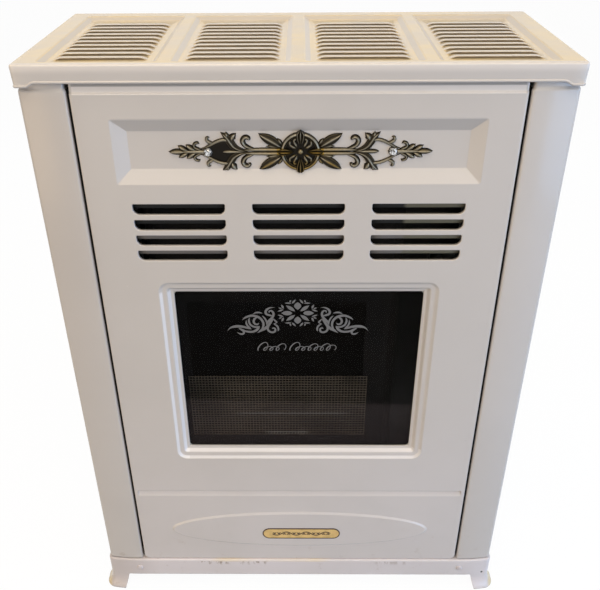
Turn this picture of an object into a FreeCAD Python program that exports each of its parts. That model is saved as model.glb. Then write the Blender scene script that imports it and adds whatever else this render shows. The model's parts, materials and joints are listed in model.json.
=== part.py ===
"""Floor-standing gas heater in pressed, enamelled sheet, modelled piece by piece in millimetres.

The front face of the front panel is depth 0. Depth runs back from it, x to the right and z up from the floor.
"""
import FreeCAD
import Part
import math
import os

from FreeCAD import Vector

# Cabinet
COVER_WIDTH = 560.0
COVER_DEPTH = 255.0
HEIGHT = 770.0
SHEET = 1.0
BEND = 4.0
LIP_OVERHANG = 6.0
REAR_SETBACK = 4.0
BODY_INSET = 0.5
SEAT_GAP = 0.3
END_ROUND = 0.4

# Top cover
LIP_FRONT = 17.0
LIP_SIDE = 22.5
COVER_CORNER = 8.0
EAR_LENGTH = 14.0
EAR_BLEND = 15.0
HEM = 11.0
FIELD_COUNT = 4
COVER_MARGIN = 22.0
RIDGE = 12.0
FIELD_DEPTH = 4.0
FIELD_SLOPE = 7.0
FIELD_FRONT = 12.0
FIELD_BACK = 33.0
LOUVRE_COUNT = 10
LOUVRE_RUN = 13.0
LOUVRE_RISE = 3.6
LOUVRE_TAPER = 9.0
LOUVRE_MARGIN = 4.0
LOUVRE_FRONT = 5.0
LOUVRE_BACK = 23.0

# Side panels, bowed at the front
PILASTER = 49.0
BOW_FLAT = 9.5
BOW_RADIUS = 110.0
BODY_CORNER = 8.0
RETURN = 20.0
RETURN_FLANGE = 18.0
STILE_REACH = 24.0
RAIL_HEIGHT = 36.0
RAIL_SHELF = 18.0
RAIL_RISE = 5.0
EDGE_FLANGE = 12.0

# Base
BASE_TOP = 55.0
BASE_SHEET = 1.2
BASE_LEDGE = 2.5
BASE_ROUND = 3.0
BASE_RIM = 36.0
APRON_BOTTOM = 24.0
FLARE_TOP = 20.0
TOE_FLARE = 8.5
FLARE_STEPS = 4
FOOT_TOP = 29.0
FOOT_TOE = 25.0
PAN_LAP = 12.0
PAN_SLOTS = 5
PAN_SLOT_WIDTH = 9.0
PAN_SLOT_MARGIN = 38.0
PAN_SLOT_PITCH = 26.0

# Front panel
PANEL_GAP = 3.0
PANEL_FOOT_GAP = 0.6
PANEL_TOP_GAP = 1.5
PANEL_EDGE = 14.0
PANEL_CORNER = 8.0
BAND_HEIGHT = 9.5
BAND_LEAN = 5.0
RECESS_MARGIN = 36.0
RECESS_HEIGHT = 70.6
RECESS_DROP = 55.5
RECESS_DEPTH = 8.0
RECESS_SLOPE = 15.0
RECESS_CORNER = 6.0
SLOT_GROUPS = 3
SLOT_ROWS = 4
SLOT_MARGIN = 48.75
SLOT_HEIGHT = 11.1
SLOT_GROUP_GAP = 29.5
SLOT_ROW_GAP = 7.55
SLOT_ROUND = 7.0
SLOT_UPPER_ROUND = 1.5
SLOT_COLLAR = 3.0
SLOT_DROP = 22.4
WINDOW_MARGIN = 66.5
WINDOW_ABOVE = 30.0
WINDOW_BELOW = 62.0
SURROUND = 16.0
SURROUND_DEPTH = 8.0
SURROUND_STEP = 3.0
SURROUND_SLOPE = 5.0
SURROUND_SHELF = 3.0
WINDOW_FLANGE = 3.0
WINDOW_ROUND = 5.0
GROOVE_RISE = 37.5
GROOVE_WIDTH = 10.0
GROOVE_DEPTH = 2.5
GROOVE_END = 9.0
GROOVE_SLOPE = 4.0
GROOVE_ROUND = 0.5
OVAL_MARGIN = 46.0
OVAL_HEIGHT = 66.4
OVAL_RISE = 27.5
OVAL_PROUD = 2.0
OVAL_SLOPE = 6.0
BADGE_WIDTH = 118.0
BADGE_HEIGHT = 21.0
BADGE_THICK = 0.8
BADGE_SHIFT = 7.5
GLASS_LAP = 8.0
GLASS_THICK = 4.0
GASKET_THICK = 1.0
GLASS_CLIP_WIDTH = 18.0
GLASS_CLIP_THICK = 1.2
GLASS_CLIP_GRIP = 5.0
GLASS_CLIP_FOOT = 10.0

# Panel fixing
STUD_RADIUS = 2.5
STUD_LENGTH = 13.0
STUD_LOW = 150.0
STUD_HIGH = 120.0
CLIP_LEAF = 0.8
CLIP_WIDTH = 8.0
CLIP_BACK = 9.0

# Ornament, laid in the recess
ORNAMENT_REACH = 138.0
ORNAMENT_GRID = 138
STEM_HEIGHT = 3.0
LEAF_HEIGHT = 4.0
ROSETTE_HEIGHT = 5.0
STEM_WIDTH = 3.4
SEAT_RIM = 1.0
BEAD_RADIUS = 2.8
CRYSTAL_PLACE = 95
CRYSTAL_RADIUS = 4.2
CRYSTAL_TABLE = 2.1
CRYSTAL_HEIGHT = 3.0
CRYSTAL_FACETS = 8

# Combustion chamber and flue
CHAMBER_SIDE = 98.5
CHAMBER_FRONT = 50.0
CHAMBER_WALL = 1.5
CHAMBER_ROUND = 12.0
CHAMBER_HEADROOM = 130.0
STAND_HEIGHT = 26.0
STAND_WIDTH = 34.0
STAND_INSET = 50.0
STAND_SETBACK = 20.0
OPENING_MARGIN = 41.0
OPENING_SILL = 4.0
OPENING_HEAD = 40.0
MESH_LAP = 6.0
MESH_HEIGHT = 101.0
MESH_WIRE = 1.6
MESH_THICK = 1.2
MESH_RIM = 6.0
MESH_COLUMNS = 24
MESH_ROWS = 10
FLUE_SPACE = 45.0
FLUE_DROP = 66.0
HOOD_WIDTH = 124.0
HOOD_DEPTH = 32.0
FLUE_RADIUS = 49.0
FLUE_WALL = 1.5
FLUE_STEP = 1.0
FLUE_BEAD = 3.0
FLUE_BEAD_LENGTH = 5.0
FLUE_LENGTH = 39.0
COLLAR_WIDTH = 16.0
COLLAR_THICK = 1.2
SHIELD_SHEET = 0.8
SHIELD_GAP = 16.0
SHIELD_FOOT = 14.0
SHIELD_INSET = 13.0
SHIELD_LOW = 60.0
SHIELD_HIGH = 20.0

# Burner
BURNER_RADIUS = 16.0
BURNER_WALL = 1.2
BURNER_RISE = 46.0
BURNER_CLEAR = 41.0
BURNER_TAIL = 8.0
PORT_COUNT = 22
PORT_WIDTH = 2.5
PORT_LENGTH = 12.0
BRACKET_THICK = 1.5
BRACKET_WIDTH = 44.0
INJECTOR_RADIUS = 9.0
INJECTOR_HEX = 11.5
INJECTOR_LENGTH = 24.0
JET_RADIUS = 2.0
GAS_PIPE_RADIUS = 4.0
GAS_PIPE_BEND = 20.0

# Pilot, in front of the burner
PILOT_AHEAD = 24.0
PILOT_INSET = 37.0
PILOT_PITCH = 9.0
SHELF_RISE = 66.0
SHELF_THICK = 1.2
SHELF_HALF_WIDTH = 9.0
SHELF_LENGTH = 32.0
PILOT_RADIUS = 3.2
PILOT_TOP = 22.0
THERMO_RADIUS = 2.6
THERMO_TOP = 28.0
ELECTRODE_RADIUS = 2.8
ELECTRODE_TOP = 16.0
ELECTRODE_TIP = 8.0
ELECTRODE_WIRE = 0.9
PROBE_DROP = 12.0
PROBE_COLLAR = 1.0
PROBE_COLLAR_HEIGHT = 3.0
PROBE_FIT = 0.05
PILOT_PIPE_RADIUS = 2.0
THERMO_LEAD_RADIUS = 1.5
IGNITION_LEAD_RADIUS = 1.8
LEAD_BEND = 9.0
LEAD_STEP = 7.0
LEAD_FLOOR = 16.0
GLAND_MARGIN = 5.0

# Gas valve and controls on the right-hand side
VALVE_CLEAR = 75.0
VALVE_STANDOFF = 24.0
VALVE_WIDTH = 50.0
VALVE_DEPTH = 64.0
VALVE_HEIGHT = 70.0
VALVE_LEVEL = 445.0
UNION_RADIUS = 8.0
UNION_HEIGHT = 8.0
SMALL_UNION = 4.5
BONNET_RADIUS = 13.0
BONNET_LENGTH = 10.0
MAGNET_RADIUS = 14.0
MAGNET_HEIGHT = 12.0
SPINDLE_RADIUS = 3.0
SPINDLE_FLAT = 1.0
SPINDLE_SEAT = 22.0
RUNNING_FIT = 0.05
TRAY_WIDTH = 84.0
TRAY_HEIGHT = 128.0
TRAY_DEPTH = 28.5
TRAY_CORNER = 10.0
TRAY_FLANGE = 8.0
KNOB_RADIUS = 20.0
KNOB_SKIRT = 6.0
KNOB_LENGTH = 21.0
KNOB_GRIP = 10.0
KNOB_SOCKET = 14.0
KNOB_ENGAGE = 6.0
KNOB_PUSH = 4.0
KNOB_BELOW = 45.0
BUTTON_ABOVE = 60.0
BUTTON_RADIUS = 7.0
BUTTON_LENGTH = 9.5
BUTTON_STEM = 4.0
BUTTON_STEM_LENGTH = 24.0
BUTTON_TRAVEL = 5.0
PIEZO_RADIUS = 10.0
PIEZO_LENGTH = 46.0
PIEZO_NOSE = 8.0
PIEZO_NOSE_LENGTH = 3.5
NUT_RADIUS = 11.5
NUT_THICK = 2.5
PUSH_CLEAR = 1.0

# Gas inlet at the back
INLET_LEVEL = 130.0
INLET_PIPE_RADIUS = 7.0
INLET_PIPE_BEND = 22.0
INLET_SETBACK = 40.0
NIPPLE_RADIUS = 10.45
NIPPLE_BORE = 6.0
NIPPLE_LENGTH = 28.0
NIPPLE_HEX = 14.0
NIPPLE_HEX_LENGTH = 8.0
NIPPLE_HOLE_GAP = 1.0

# Rear panel and screws
REAR_SLOTS = 9
REAR_SLOT_LENGTH = 60.0
REAR_SLOT_HEIGHT = 6.0
REAR_SLOT_PITCH = 14.0
REAR_SLOT_COLUMN = 95.0
REAR_SLOT_RISE = 22.0
BEAD_WIDTH = 16.0
BEAD_PROUD = 2.0
BEAD_INSET = 34.0
BEAD_END = 60.0
BEAD_SLOPE = 4.0
SCREW_RADIUS = 4.0
SCREW_HEAD = 2.2
SCREW_CROWN = 2.6
SCREW_INSET = 12.0
SCREW_ROWS = 4

# Places that follow from the sizes above
BODY_HALF = COVER_WIDTH / 2 - BODY_INSET
BODY_TOP = HEIGHT - LIP_SIDE
BODY_REAR = COVER_DEPTH - LIP_OVERHANG - REAR_SETBACK
REAR_FACE = BODY_REAR + SHEET
FLUE_END = REAR_FACE + REAR_SETBACK + FLUE_BEAD_LENGTH + FLUE_LENGTH
INNER_X = BODY_HALF - PILASTER
BOW_X = INNER_X + BOW_FLAT
TOE_BOW = BOW_RADIUS + BASE_LEDGE + TOE_FLARE
TOE_X = BODY_HALF + BASE_LEDGE - FOOT_TOE
TOE_D = BOW_RADIUS - math.sqrt(TOE_BOW ** 2 - max(0, TOE_X - BOW_X) ** 2)
FRONT_Y = -(TOE_D + FLUE_END) / 2
PANEL_HALF = INNER_X - PANEL_GAP
PANEL_BOTTOM = BASE_TOP + PANEL_FOOT_GAP
PANEL_TOP = HEIGHT - LIP_FRONT - PANEL_TOP_GAP
OVAL_Z = PANEL_BOTTOM + OVAL_RISE + OVAL_HEIGHT / 2
GROOVE_Z = OVAL_Z + OVAL_HEIGHT / 2 + GROOVE_RISE
RECESS_WIDTH = 2 * (PANEL_HALF - RECESS_MARGIN)
RECESS_Z = HEIGHT - RECESS_DROP - RECESS_HEIGHT / 2
OVAL_WIDTH = 2 * (PANEL_HALF - OVAL_MARGIN)
SLOT_ROW_PITCH = SLOT_HEIGHT + SLOT_ROW_GAP
SLOT_LENGTH = (2 * (PANEL_HALF - SLOT_MARGIN) - (SLOT_GROUPS - 1) * SLOT_GROUP_GAP) / SLOT_GROUPS
SLOT_GROUP_PITCH = SLOT_LENGTH + SLOT_GROUP_GAP
SLOT_TOP = RECESS_Z - RECESS_HEIGHT / 2 - SLOT_DROP
SLOT_BLOCK = (SLOT_ROWS - 1) * SLOT_ROW_PITCH + SLOT_HEIGHT
SURROUND_TOP = SLOT_TOP - SLOT_BLOCK - WINDOW_ABOVE
SURROUND_BOTTOM = GROOVE_Z + GROOVE_WIDTH / 2 + WINDOW_BELOW
SURROUND_Z = (SURROUND_TOP + SURROUND_BOTTOM) / 2
SURROUND_WIDTH = 2 * (PANEL_HALF - WINDOW_MARGIN)
WINDOW_WIDTH = SURROUND_WIDTH - 2 * SURROUND
SURROUND_HEIGHT = SURROUND_TOP - SURROUND_BOTTOM
WINDOW_HEIGHT = SURROUND_HEIGHT - 2 * SURROUND
WINDOW_BOTTOM = SURROUND_Z - WINDOW_HEIGHT / 2
GLASS_FRONT = SURROUND_DEPTH + SHEET + GASKET_THICK
STUD_X = INNER_X - STILE_REACH / 2
STUD_LEVELS = (PANEL_BOTTOM + STUD_LOW, PANEL_TOP - STUD_HIGH)
CHAMBER_BACK = BODY_REAR - FLUE_SPACE
TRAY_FLOOR = BODY_HALF - SHEET - TRAY_DEPTH
VALVE_RIGHT = TRAY_FLOOR - SHEET - VALVE_STANDOFF
VALVE_X = VALVE_RIGHT - VALVE_WIDTH / 2
CHAMBER_LEFT = CHAMBER_SIDE - BODY_HALF
CHAMBER_RIGHT = VALVE_X - VALVE_CLEAR
CHAMBER_OFFSET = (CHAMBER_LEFT + CHAMBER_RIGHT) / 2
CHAMBER_WIDTH = CHAMBER_RIGHT - CHAMBER_LEFT
PAN_TOP = BASE_TOP + SHEET
CHAMBER_BOTTOM = PAN_TOP + STAND_HEIGHT
CHAMBER_TOP = HEIGHT - CHAMBER_HEADROOM
CHAMBER_FLOOR = CHAMBER_BOTTOM + CHAMBER_WALL
OPENING_BOTTOM = WINDOW_BOTTOM - OPENING_SILL
OPENING_WIDTH = CHAMBER_WIDTH - 2 * OPENING_MARGIN
OPENING_HEIGHT = WINDOW_HEIGHT + OPENING_SILL - OPENING_HEAD
FLUE_Z = CHAMBER_TOP - FLUE_DROP
HOOD_BACK = CHAMBER_BACK + HOOD_DEPTH
BURNER_D = (CHAMBER_FRONT + CHAMBER_BACK) / 2
BURNER_Z = CHAMBER_FLOOR + BURNER_RISE
BURNER_END = CHAMBER_RIGHT + BURNER_TAIL
BURNER_START = CHAMBER_LEFT + BURNER_CLEAR
PILOT_D = BURNER_D - PILOT_AHEAD
ELECTRODE_X = CHAMBER_RIGHT - PILOT_INSET
PILOT_X = ELECTRODE_X - PILOT_PITCH
THERMO_X = PILOT_X - PILOT_PITCH
SHELF_TOP = CHAMBER_FLOOR + SHELF_RISE
PROBE_BOTTOM = SHELF_TOP - SHELF_THICK - PROBE_DROP
VALVE_BOTTOM = VALVE_LEVEL - VALVE_HEIGHT / 2
PILOT_RISER_X = VALVE_X - VALVE_WIDTH / 4
THERMO_RISER_X = VALVE_X + VALVE_WIDTH / 4
LEAD_RISER_X = VALVE_X - VALVE_WIDTH / 2 - LEAD_BEND - IGNITION_LEAD_RADIUS
TRAY_BOTTOM = VALVE_LEVEL - KNOB_BELOW
KNOB_BACK = TRAY_FLOOR + KNOB_PUSH + PUSH_CLEAR
SPINDLE_END = KNOB_BACK + KNOB_ENGAGE
BUTTON_Z = VALVE_LEVEL + BUTTON_ABOVE
NOSE_END = TRAY_FLOOR + PIEZO_NOSE_LENGTH
BUTTON_BACK = NOSE_END + BUTTON_TRAVEL + PUSH_CLEAR
PIEZO_END = TRAY_FLOOR - SHEET - PIEZO_LENGTH
INLET_D = REAR_FACE - INLET_SETBACK


def at(x, depth, z):
    """Point in the object's own frame, whose origin is under the middle of the whole heater."""
    return Vector(x, FRONT_Y + depth, z)


def block(x0, x1, d0, d1, z0, z1):
    return Part.makeBox(x1 - x0, d1 - d0, z1 - z0, at(x0, d0, z0))


def rod(start, end, radius):
    return Part.makeCylinder(radius, start.distanceToPoint(end), start, end - start)


def rounded_points(half_u, half_v, lower, upper):
    """Corners of a rounded rectangle as (start, middle, end) arcs, counter-clockwise from the lower right."""
    corners = []
    for quadrant in range(4):
        turn = math.radians(90 * quadrant - 90)
        sign_u = 1 if quadrant in (0, 1) else -1
        sign_v = 1 if quadrant in (1, 2) else -1
        radius = upper if sign_v > 0 else lower
        centre_u = sign_u * (half_u - radius)
        centre_v = sign_v * (half_v - radius)
        arc = []
        for step in range(3):
            angle = turn + math.radians(45 * step)
            arc.append((centre_u + radius * math.cos(angle), centre_v + radius * math.sin(angle)))
        corners.append(arc)
    return corners


def rounded_wire(half_u, half_v, radius, place, upper=None):
    """Rounded rectangle, laid out in space by place(u, v); its upper corners may have their own radius."""
    edges = []
    corners = rounded_points(half_u, half_v, radius, upper or radius)
    for index, (start, middle, end) in enumerate(corners):
        following = corners[(index + 1) % len(corners)][0]
        edges.append(Part.Arc(place(*start), place(*middle), place(*end)).toShape())
        edges.append(Part.makeLine(place(*end), place(*following)))
    return Part.Wire(edges)


def upright(x, z, width, height, radius, depth, upper=None):
    """Rounded rectangle that faces the front, at a depth."""
    return rounded_wire(width / 2, height / 2, radius, lambda u, v: at(x + u, depth, z + v), upper)


def upright_plate(x, z, width, height, radius, d0, d1, upper=None):
    face = Part.Face(upright(x, z, width, height, radius, d0, upper))
    return face.extrude(Vector(0, d1 - d0, 0))


def dish(x, z, width, height, radius, d0, d1, slope):
    """Pocket with sloping sides: full size at depth d0, smaller by the slope all round at d1."""
    mouth = upright(x, z, width, height, radius, d0)
    floor = upright(x, z, width - 2 * slope, height - 2 * slope, radius, d1)
    return Part.makeLoft([mouth, floor], True, True)


def flat_plate(x, depth, width, length, radius, z0, z1):
    """Lying rounded rectangle between two heights."""
    wire = rounded_wire(width / 2, length / 2, radius, lambda u, v: at(x + u, depth + v, z0))
    return Part.Face(wire).extrude(Vector(0, 0, z1 - z0))


def pipe(points, radius, bend):
    """Round pipe along straight runs joined by tangent arcs of one bend radius."""
    edges = []
    start = points[0]
    for before, corner, after in zip(points, points[1:], points[2:]):
        into = (corner - before).normalize()
        out = (after - corner).normalize()
        half_turn = into.getAngle(out) / 2
        reach = bend * math.tan(half_turn)
        first = corner - into * reach
        last = corner + out * reach
        inward = (out - into).normalize()
        middle = corner + inward * (bend / math.cos(half_turn) - bend)
        edges.append(Part.makeLine(start, first))
        edges.append(Part.Arc(first, middle, last).toShape())
        start = last
    edges.append(Part.makeLine(start, points[-1]))
    path = Part.Wire(edges)
    section = Part.Wire(Part.makeCircle(radius, points[0], points[1] - points[0]))
    return path.makePipeShell([section], True, False)


def prism(outline, sweep):
    """Solid from a closed run of corner points, carried along a vector."""
    return Part.Face(Part.makePolygon(outline + outline[:1])).extrude(sweep)


def union(shapes):
    return shapes[0].multiFuse(shapes[1:]).removeSplitter()


def mirrored(shape):
    return shape.mirror(Vector(0, 0, 0), Vector(1, 0, 0))


def vertical_edges(shape, low, high):
    """Upright edges that run the whole way between two heights."""
    found = []
    for edge in shape.Edges:
        box = edge.BoundBox
        if abs(box.ZMin - low) < SEAT_GAP and abs(box.ZMax - high) < SEAT_GAP:
            found.append(edge)
    return found


def plan_wire(offset, z):
    """Outline of the cabinet seen from above: bowed front corners, plain rear ones, grown by an offset."""
    corner_x = BODY_HALF - BODY_CORNER
    reach = BOW_RADIUS - BODY_CORNER
    corner_d = BOW_RADIUS - math.sqrt(reach ** 2 - (corner_x - BOW_X) ** 2)
    swing = math.asin((corner_x - BOW_X) / reach)
    bow = BOW_RADIUS + offset
    turn = BODY_CORNER + offset
    rear_d = BODY_REAR - BODY_CORNER

    def bow_point(angle):
        return (BOW_X + bow * math.sin(angle), BOW_RADIUS - bow * math.cos(angle))

    def turn_point(angle, depth):
        return (corner_x + turn * math.sin(angle), depth - turn * math.cos(angle))

    quarter = math.pi / 2
    right = [
        [bow_point(0), bow_point(swing / 2), bow_point(swing)],
        [turn_point(swing, corner_d), turn_point((swing + quarter) / 2, corner_d),
         turn_point(quarter, corner_d)],
        [turn_point(quarter, rear_d), turn_point(1.5 * quarter, rear_d), turn_point(2 * quarter, rear_d)],
    ]
    left = [[(-x, d) for x, d in reversed(arc)] for arc in reversed(right)]
    arcs = right + left
    edges = []
    for index, arc in enumerate(arcs):
        start, middle, end = [at(x, d, z) for x, d in arc]
        following = at(*arcs[(index + 1) % len(arcs)][0], z)
        edges.append(Part.Arc(start, middle, end).toShape())
        if end.distanceToPoint(following) > SEAT_GAP:
            edges.append(Part.makeLine(end, following))
    return Part.Wire(edges)


def plan_solid(offset, z0, z1):
    return Part.Face(plan_wire(offset, z0)).extrude(Vector(0, 0, z1 - z0))


def flat_edges(shape, z):
    """Edges that lie at one height."""
    return [edge for edge in shape.Edges
            if abs(edge.BoundBox.ZMin - z) < SEAT_GAP and abs(edge.BoundBox.ZMax - z) < SEAT_GAP]


def louvre(x, depth, z, length, drop):
    """Wedge that opens to the front and runs down to the sheet behind, with tapered ends."""
    half = length / 2
    crest = half - LOUVRE_TAPER
    heel = half - LOUVRE_TAPER / 2
    top = z + LOUVRE_RISE - drop
    foot = z - drop
    front_left = at(x - half, depth, foot)
    front_right = at(x + half, depth, foot)
    crest_left = at(x - crest, depth, top)
    crest_right = at(x + crest, depth, top)
    heel_left = at(x - heel, depth + LOUVRE_RUN, foot)
    heel_right = at(x + heel, depth + LOUVRE_RUN, foot)
    faces = []
    for loop in ([front_left, front_right, crest_right, crest_left],
                 [crest_left, crest_right, heel_right, heel_left],
                 [front_left, heel_left, heel_right, front_right],
                 [front_left, crest_left, heel_left],
                 [front_right, heel_right, crest_right]):
        faces.append(Part.Face(Part.makePolygon(loop + loop[:1])))
    return Part.Solid(Part.Shell(faces))


def top_cover():
    """Lid with deep front corners, turned-in hem, sunk fields and louvres that open to the front."""
    middle = COVER_DEPTH / 2 - LIP_OVERHANG
    outer = flat_plate(0, middle, COVER_WIDTH, COVER_DEPTH, COVER_CORNER, BODY_TOP, HEIGHT)
    outer = outer.makeFillet(BEND, flat_edges(outer, HEIGHT))
    inner = flat_plate(0, middle, COVER_WIDTH - 2 * SHEET, COVER_DEPTH - 2 * SHEET, COVER_CORNER - SHEET,
                       BODY_TOP, HEIGHT - SHEET)
    inner = inner.makeFillet(BEND - SHEET, flat_edges(inner, HEIGHT - SHEET))
    sinks = []
    under = []
    hoods = []
    hollows = []
    pitch = (COVER_WIDTH - 2 * COVER_MARGIN + RIDGE) / FIELD_COUNT
    width = pitch - RIDGE
    length = COVER_DEPTH - FIELD_FRONT - FIELD_BACK
    field_d = FIELD_FRONT + length / 2 - LIP_OVERHANG
    field_z = HEIGHT - FIELD_DEPTH
    louvre_length = width - 2 * FIELD_SLOPE - 2 * LOUVRE_MARGIN
    first = FIELD_FRONT + FIELD_SLOPE + LOUVRE_FRONT - LIP_OVERHANG
    run = length - 2 * FIELD_SLOPE - LOUVRE_FRONT - LOUVRE_BACK - LOUVRE_RUN
    for field in range(FIELD_COUNT):
        x = (field - (FIELD_COUNT - 1) / 2) * pitch
        for height, group in ((HEIGHT, sinks), (HEIGHT - SHEET, under)):
            mouth = rounded_wire(width / 2, length / 2, FIELD_SLOPE,
                                 lambda u, v: at(x + u, field_d + v, height))
            floor = rounded_wire(width / 2 - FIELD_SLOPE, length / 2 - FIELD_SLOPE, FIELD_SLOPE,
                                 lambda u, v: at(x + u, field_d + v, height - FIELD_DEPTH))
            group.append(Part.makeLoft([mouth, floor], True, True))
        for row in range(LOUVRE_COUNT):
            depth = first + run * row / (LOUVRE_COUNT - 1)
            hoods.append(louvre(x, depth, field_z, louvre_length, 0))
            hollows.append(louvre(x, depth, field_z, louvre_length, SHEET))
    shell = outer.cut(Part.makeCompound(sinks))
    shell = shell.cut(inner.cut(Part.makeCompound(under)))
    shell = shell.multiFuse(hoods)
    shell = shell.cut(Part.makeCompound(hollows))
    lap = middle + COVER_DEPTH / 2
    hem = flat_plate(0, middle, COVER_WIDTH - SHEET, COVER_DEPTH - SHEET, COVER_CORNER, BODY_TOP,
                     BODY_TOP + SHEET)
    hem = hem.cut(block(HEM - COVER_WIDTH / 2, COVER_WIDTH / 2 - HEM, -LIP_OVERHANG, lap - HEM, BODY_TOP,
                        HEIGHT))
    hem = hem.cut(block(-COVER_WIDTH / 2, COVER_WIDTH / 2, -LIP_OVERHANG, BEND, BODY_TOP, HEIGHT))
    shell = shell.fuse(hem)
    return shell.cut(lip_relief()).removeSplitter()


def lip_relief():
    """What the front lip lacks between its two deep corners, ended by S-shaped steps."""
    lift = LIP_SIDE - LIP_FRONT
    low = BODY_TOP
    inner_x = COVER_WIDTH / 2 - EAR_LENGTH
    crest_x = inner_x - EAR_BLEND
    front = -LIP_OVERHANG
    middle = (inner_x + crest_x) / 2
    sag = lift / 8
    edges = []
    for side in (1, -1):
        start = at(side * inner_x, front, low)
        half = at(side * middle, front, low + lift / 2)
        crest = at(side * crest_x, front, low + lift)
        lower = at(side * (inner_x + middle) / 2, front, low + sag)
        upper = at(side * (crest_x + middle) / 2, front, low + lift - sag)
        edges.append(Part.Arc(start, lower, half).toShape())
        edges.append(Part.Arc(half, upper, crest).toShape())
    edges.append(Part.makeLine(at(crest_x, front, low + lift), at(-crest_x, front, low + lift)))
    edges.append(Part.makeLine(at(inner_x, front, low), at(-inner_x, front, low)))
    outline = Part.Wire(Part.__sortEdges__(edges))
    return Part.Face(outline).extrude(Vector(0, LIP_OVERHANG, 0))


def side_shell(offset, bend):
    """Solid of the right-hand side panel's outer form, shrunk by an offset."""
    inner_x = INNER_X + offset
    form = plan_solid(-offset, BASE_TOP + offset, BODY_TOP - offset)
    keep = block(inner_x, COVER_WIDTH, -COVER_DEPTH, 2 * COVER_DEPTH, BASE_TOP, BODY_TOP)
    form = form.common(keep)
    edges = []
    for edge in form.Edges:
        box = edge.BoundBox
        lies_flat = box.ZLength < SEAT_GAP
        at_back = box.YMin > FRONT_Y + BODY_REAR - BODY_CORNER - SEAT_GAP
        inside = abs(box.XMax - inner_x) < SEAT_GAP
        at_front = box.YMax < FRONT_Y + offset + SEAT_GAP
        if (lies_flat and not at_back) or (inside and at_front):
            edges.append(edge)
    return form.makeFillet(bend, edges)


def right_side_panel():
    """Folded tray: bowed front, side wall, turned-in edges and the flange that the stile is fixed to."""
    sheet = side_shell(0, BEND).cut(side_shell(SHEET, BEND - SHEET))
    open_d = BODY_REAR - EDGE_FLANGE
    room = block(INNER_X - SHEET, INNER_X + BEND, RETURN, COVER_DEPTH, BASE_TOP, BODY_TOP)
    mouth = block(INNER_X - SHEET, BODY_HALF - EDGE_FLANGE, RETURN, open_d, BASE_TOP, BODY_TOP)
    flange = block(INNER_X, INNER_X + RETURN_FLANGE, RETURN - SHEET, RETURN, BASE_TOP + BEND,
                   BODY_TOP - BEND)
    sheet = sheet.cut(room).cut(mouth).fuse(flange)
    return sheet.removeSplitter()


def tray_window():
    """Rounded opening for the control recess, as a solid through the right-hand wall."""
    level = TRAY_BOTTOM + TRAY_HEIGHT / 2
    wire = rounded_wire(TRAY_WIDTH / 2, TRAY_HEIGHT / 2, TRAY_CORNER,
                        lambda u, v: at(TRAY_FLOOR, BURNER_D + u, level + v))
    return Part.Face(wire).extrude(Vector(TRAY_DEPTH + 2 * SHEET, 0, 0))


def control_recess():
    """Dish behind the side panel, with a flange on the panel's inner face."""
    level = TRAY_BOTTOM + TRAY_HEIGHT / 2
    back = TRAY_FLOOR - SHEET
    wall = BODY_HALF - SHEET

    def plate(grow, x0, x1):
        wire = rounded_wire(TRAY_WIDTH / 2 + grow, TRAY_HEIGHT / 2 + grow, TRAY_CORNER + grow,
                            lambda u, v: at(x0, BURNER_D + u, level + v))
        return Part.Face(wire).extrude(Vector(x1 - x0, 0, 0))

    dish_form = plate(SHEET, back, wall).fuse(plate(TRAY_FLANGE, wall - SHEET, wall))
    dish_form = dish_form.cut(tray_window())
    spindle_hole = rod(at(back - SHEET, BURNER_D, VALVE_LEVEL),
                       at(TRAY_FLOOR + SHEET, BURNER_D, VALVE_LEVEL),
                       SPINDLE_RADIUS + PUSH_CLEAR)
    nose_hole = rod(at(back - SHEET, BURNER_D, BUTTON_Z), at(TRAY_FLOOR + SHEET, BURNER_D, BUTTON_Z),
                    PIEZO_NOSE + PROBE_FIT)
    return dish_form.cut(spindle_hole).cut(nose_hole).removeSplitter()


def foot_openings(z_top):
    """Spaces between the feet, seen from the front and from the side, as solids to cut away."""
    front_top = BODY_HALF + BASE_LEDGE - FOOT_TOP
    side_front = FOOT_TOP - BASE_LEDGE
    side_back = BODY_REAR + BASE_LEDGE - FOOT_TOP
    narrow = FOOT_TOP - FOOT_TOE
    front = [at(-front_top, -COVER_DEPTH, z_top), at(front_top, -COVER_DEPTH, z_top),
             at(TOE_X, -COVER_DEPTH, 0), at(-TOE_X, -COVER_DEPTH, 0)]
    side = [at(-COVER_WIDTH, side_front, z_top), at(-COVER_WIDTH, side_back, z_top),
            at(-COVER_WIDTH, side_back + narrow, 0), at(-COVER_WIDTH, side_front - narrow, 0)]
    return [prism(front, Vector(0, 3 * COVER_DEPTH, 0)), prism(side, Vector(2 * COVER_WIDTH, 0, 0))]


def flare(shrink):
    """Lower part of the plinth, curving outwards to the toes, shrunk by the sheet on the inside."""
    sections = []
    for step in range(FLARE_STEPS):
        share = step / (FLARE_STEPS - 1)
        grow = BASE_LEDGE + TOE_FLARE * share ** 2 - shrink
        sections.append(plan_wire(grow, FLARE_TOP * (1 - share)))
    return Part.makeLoft(sections, True, False)


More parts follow.
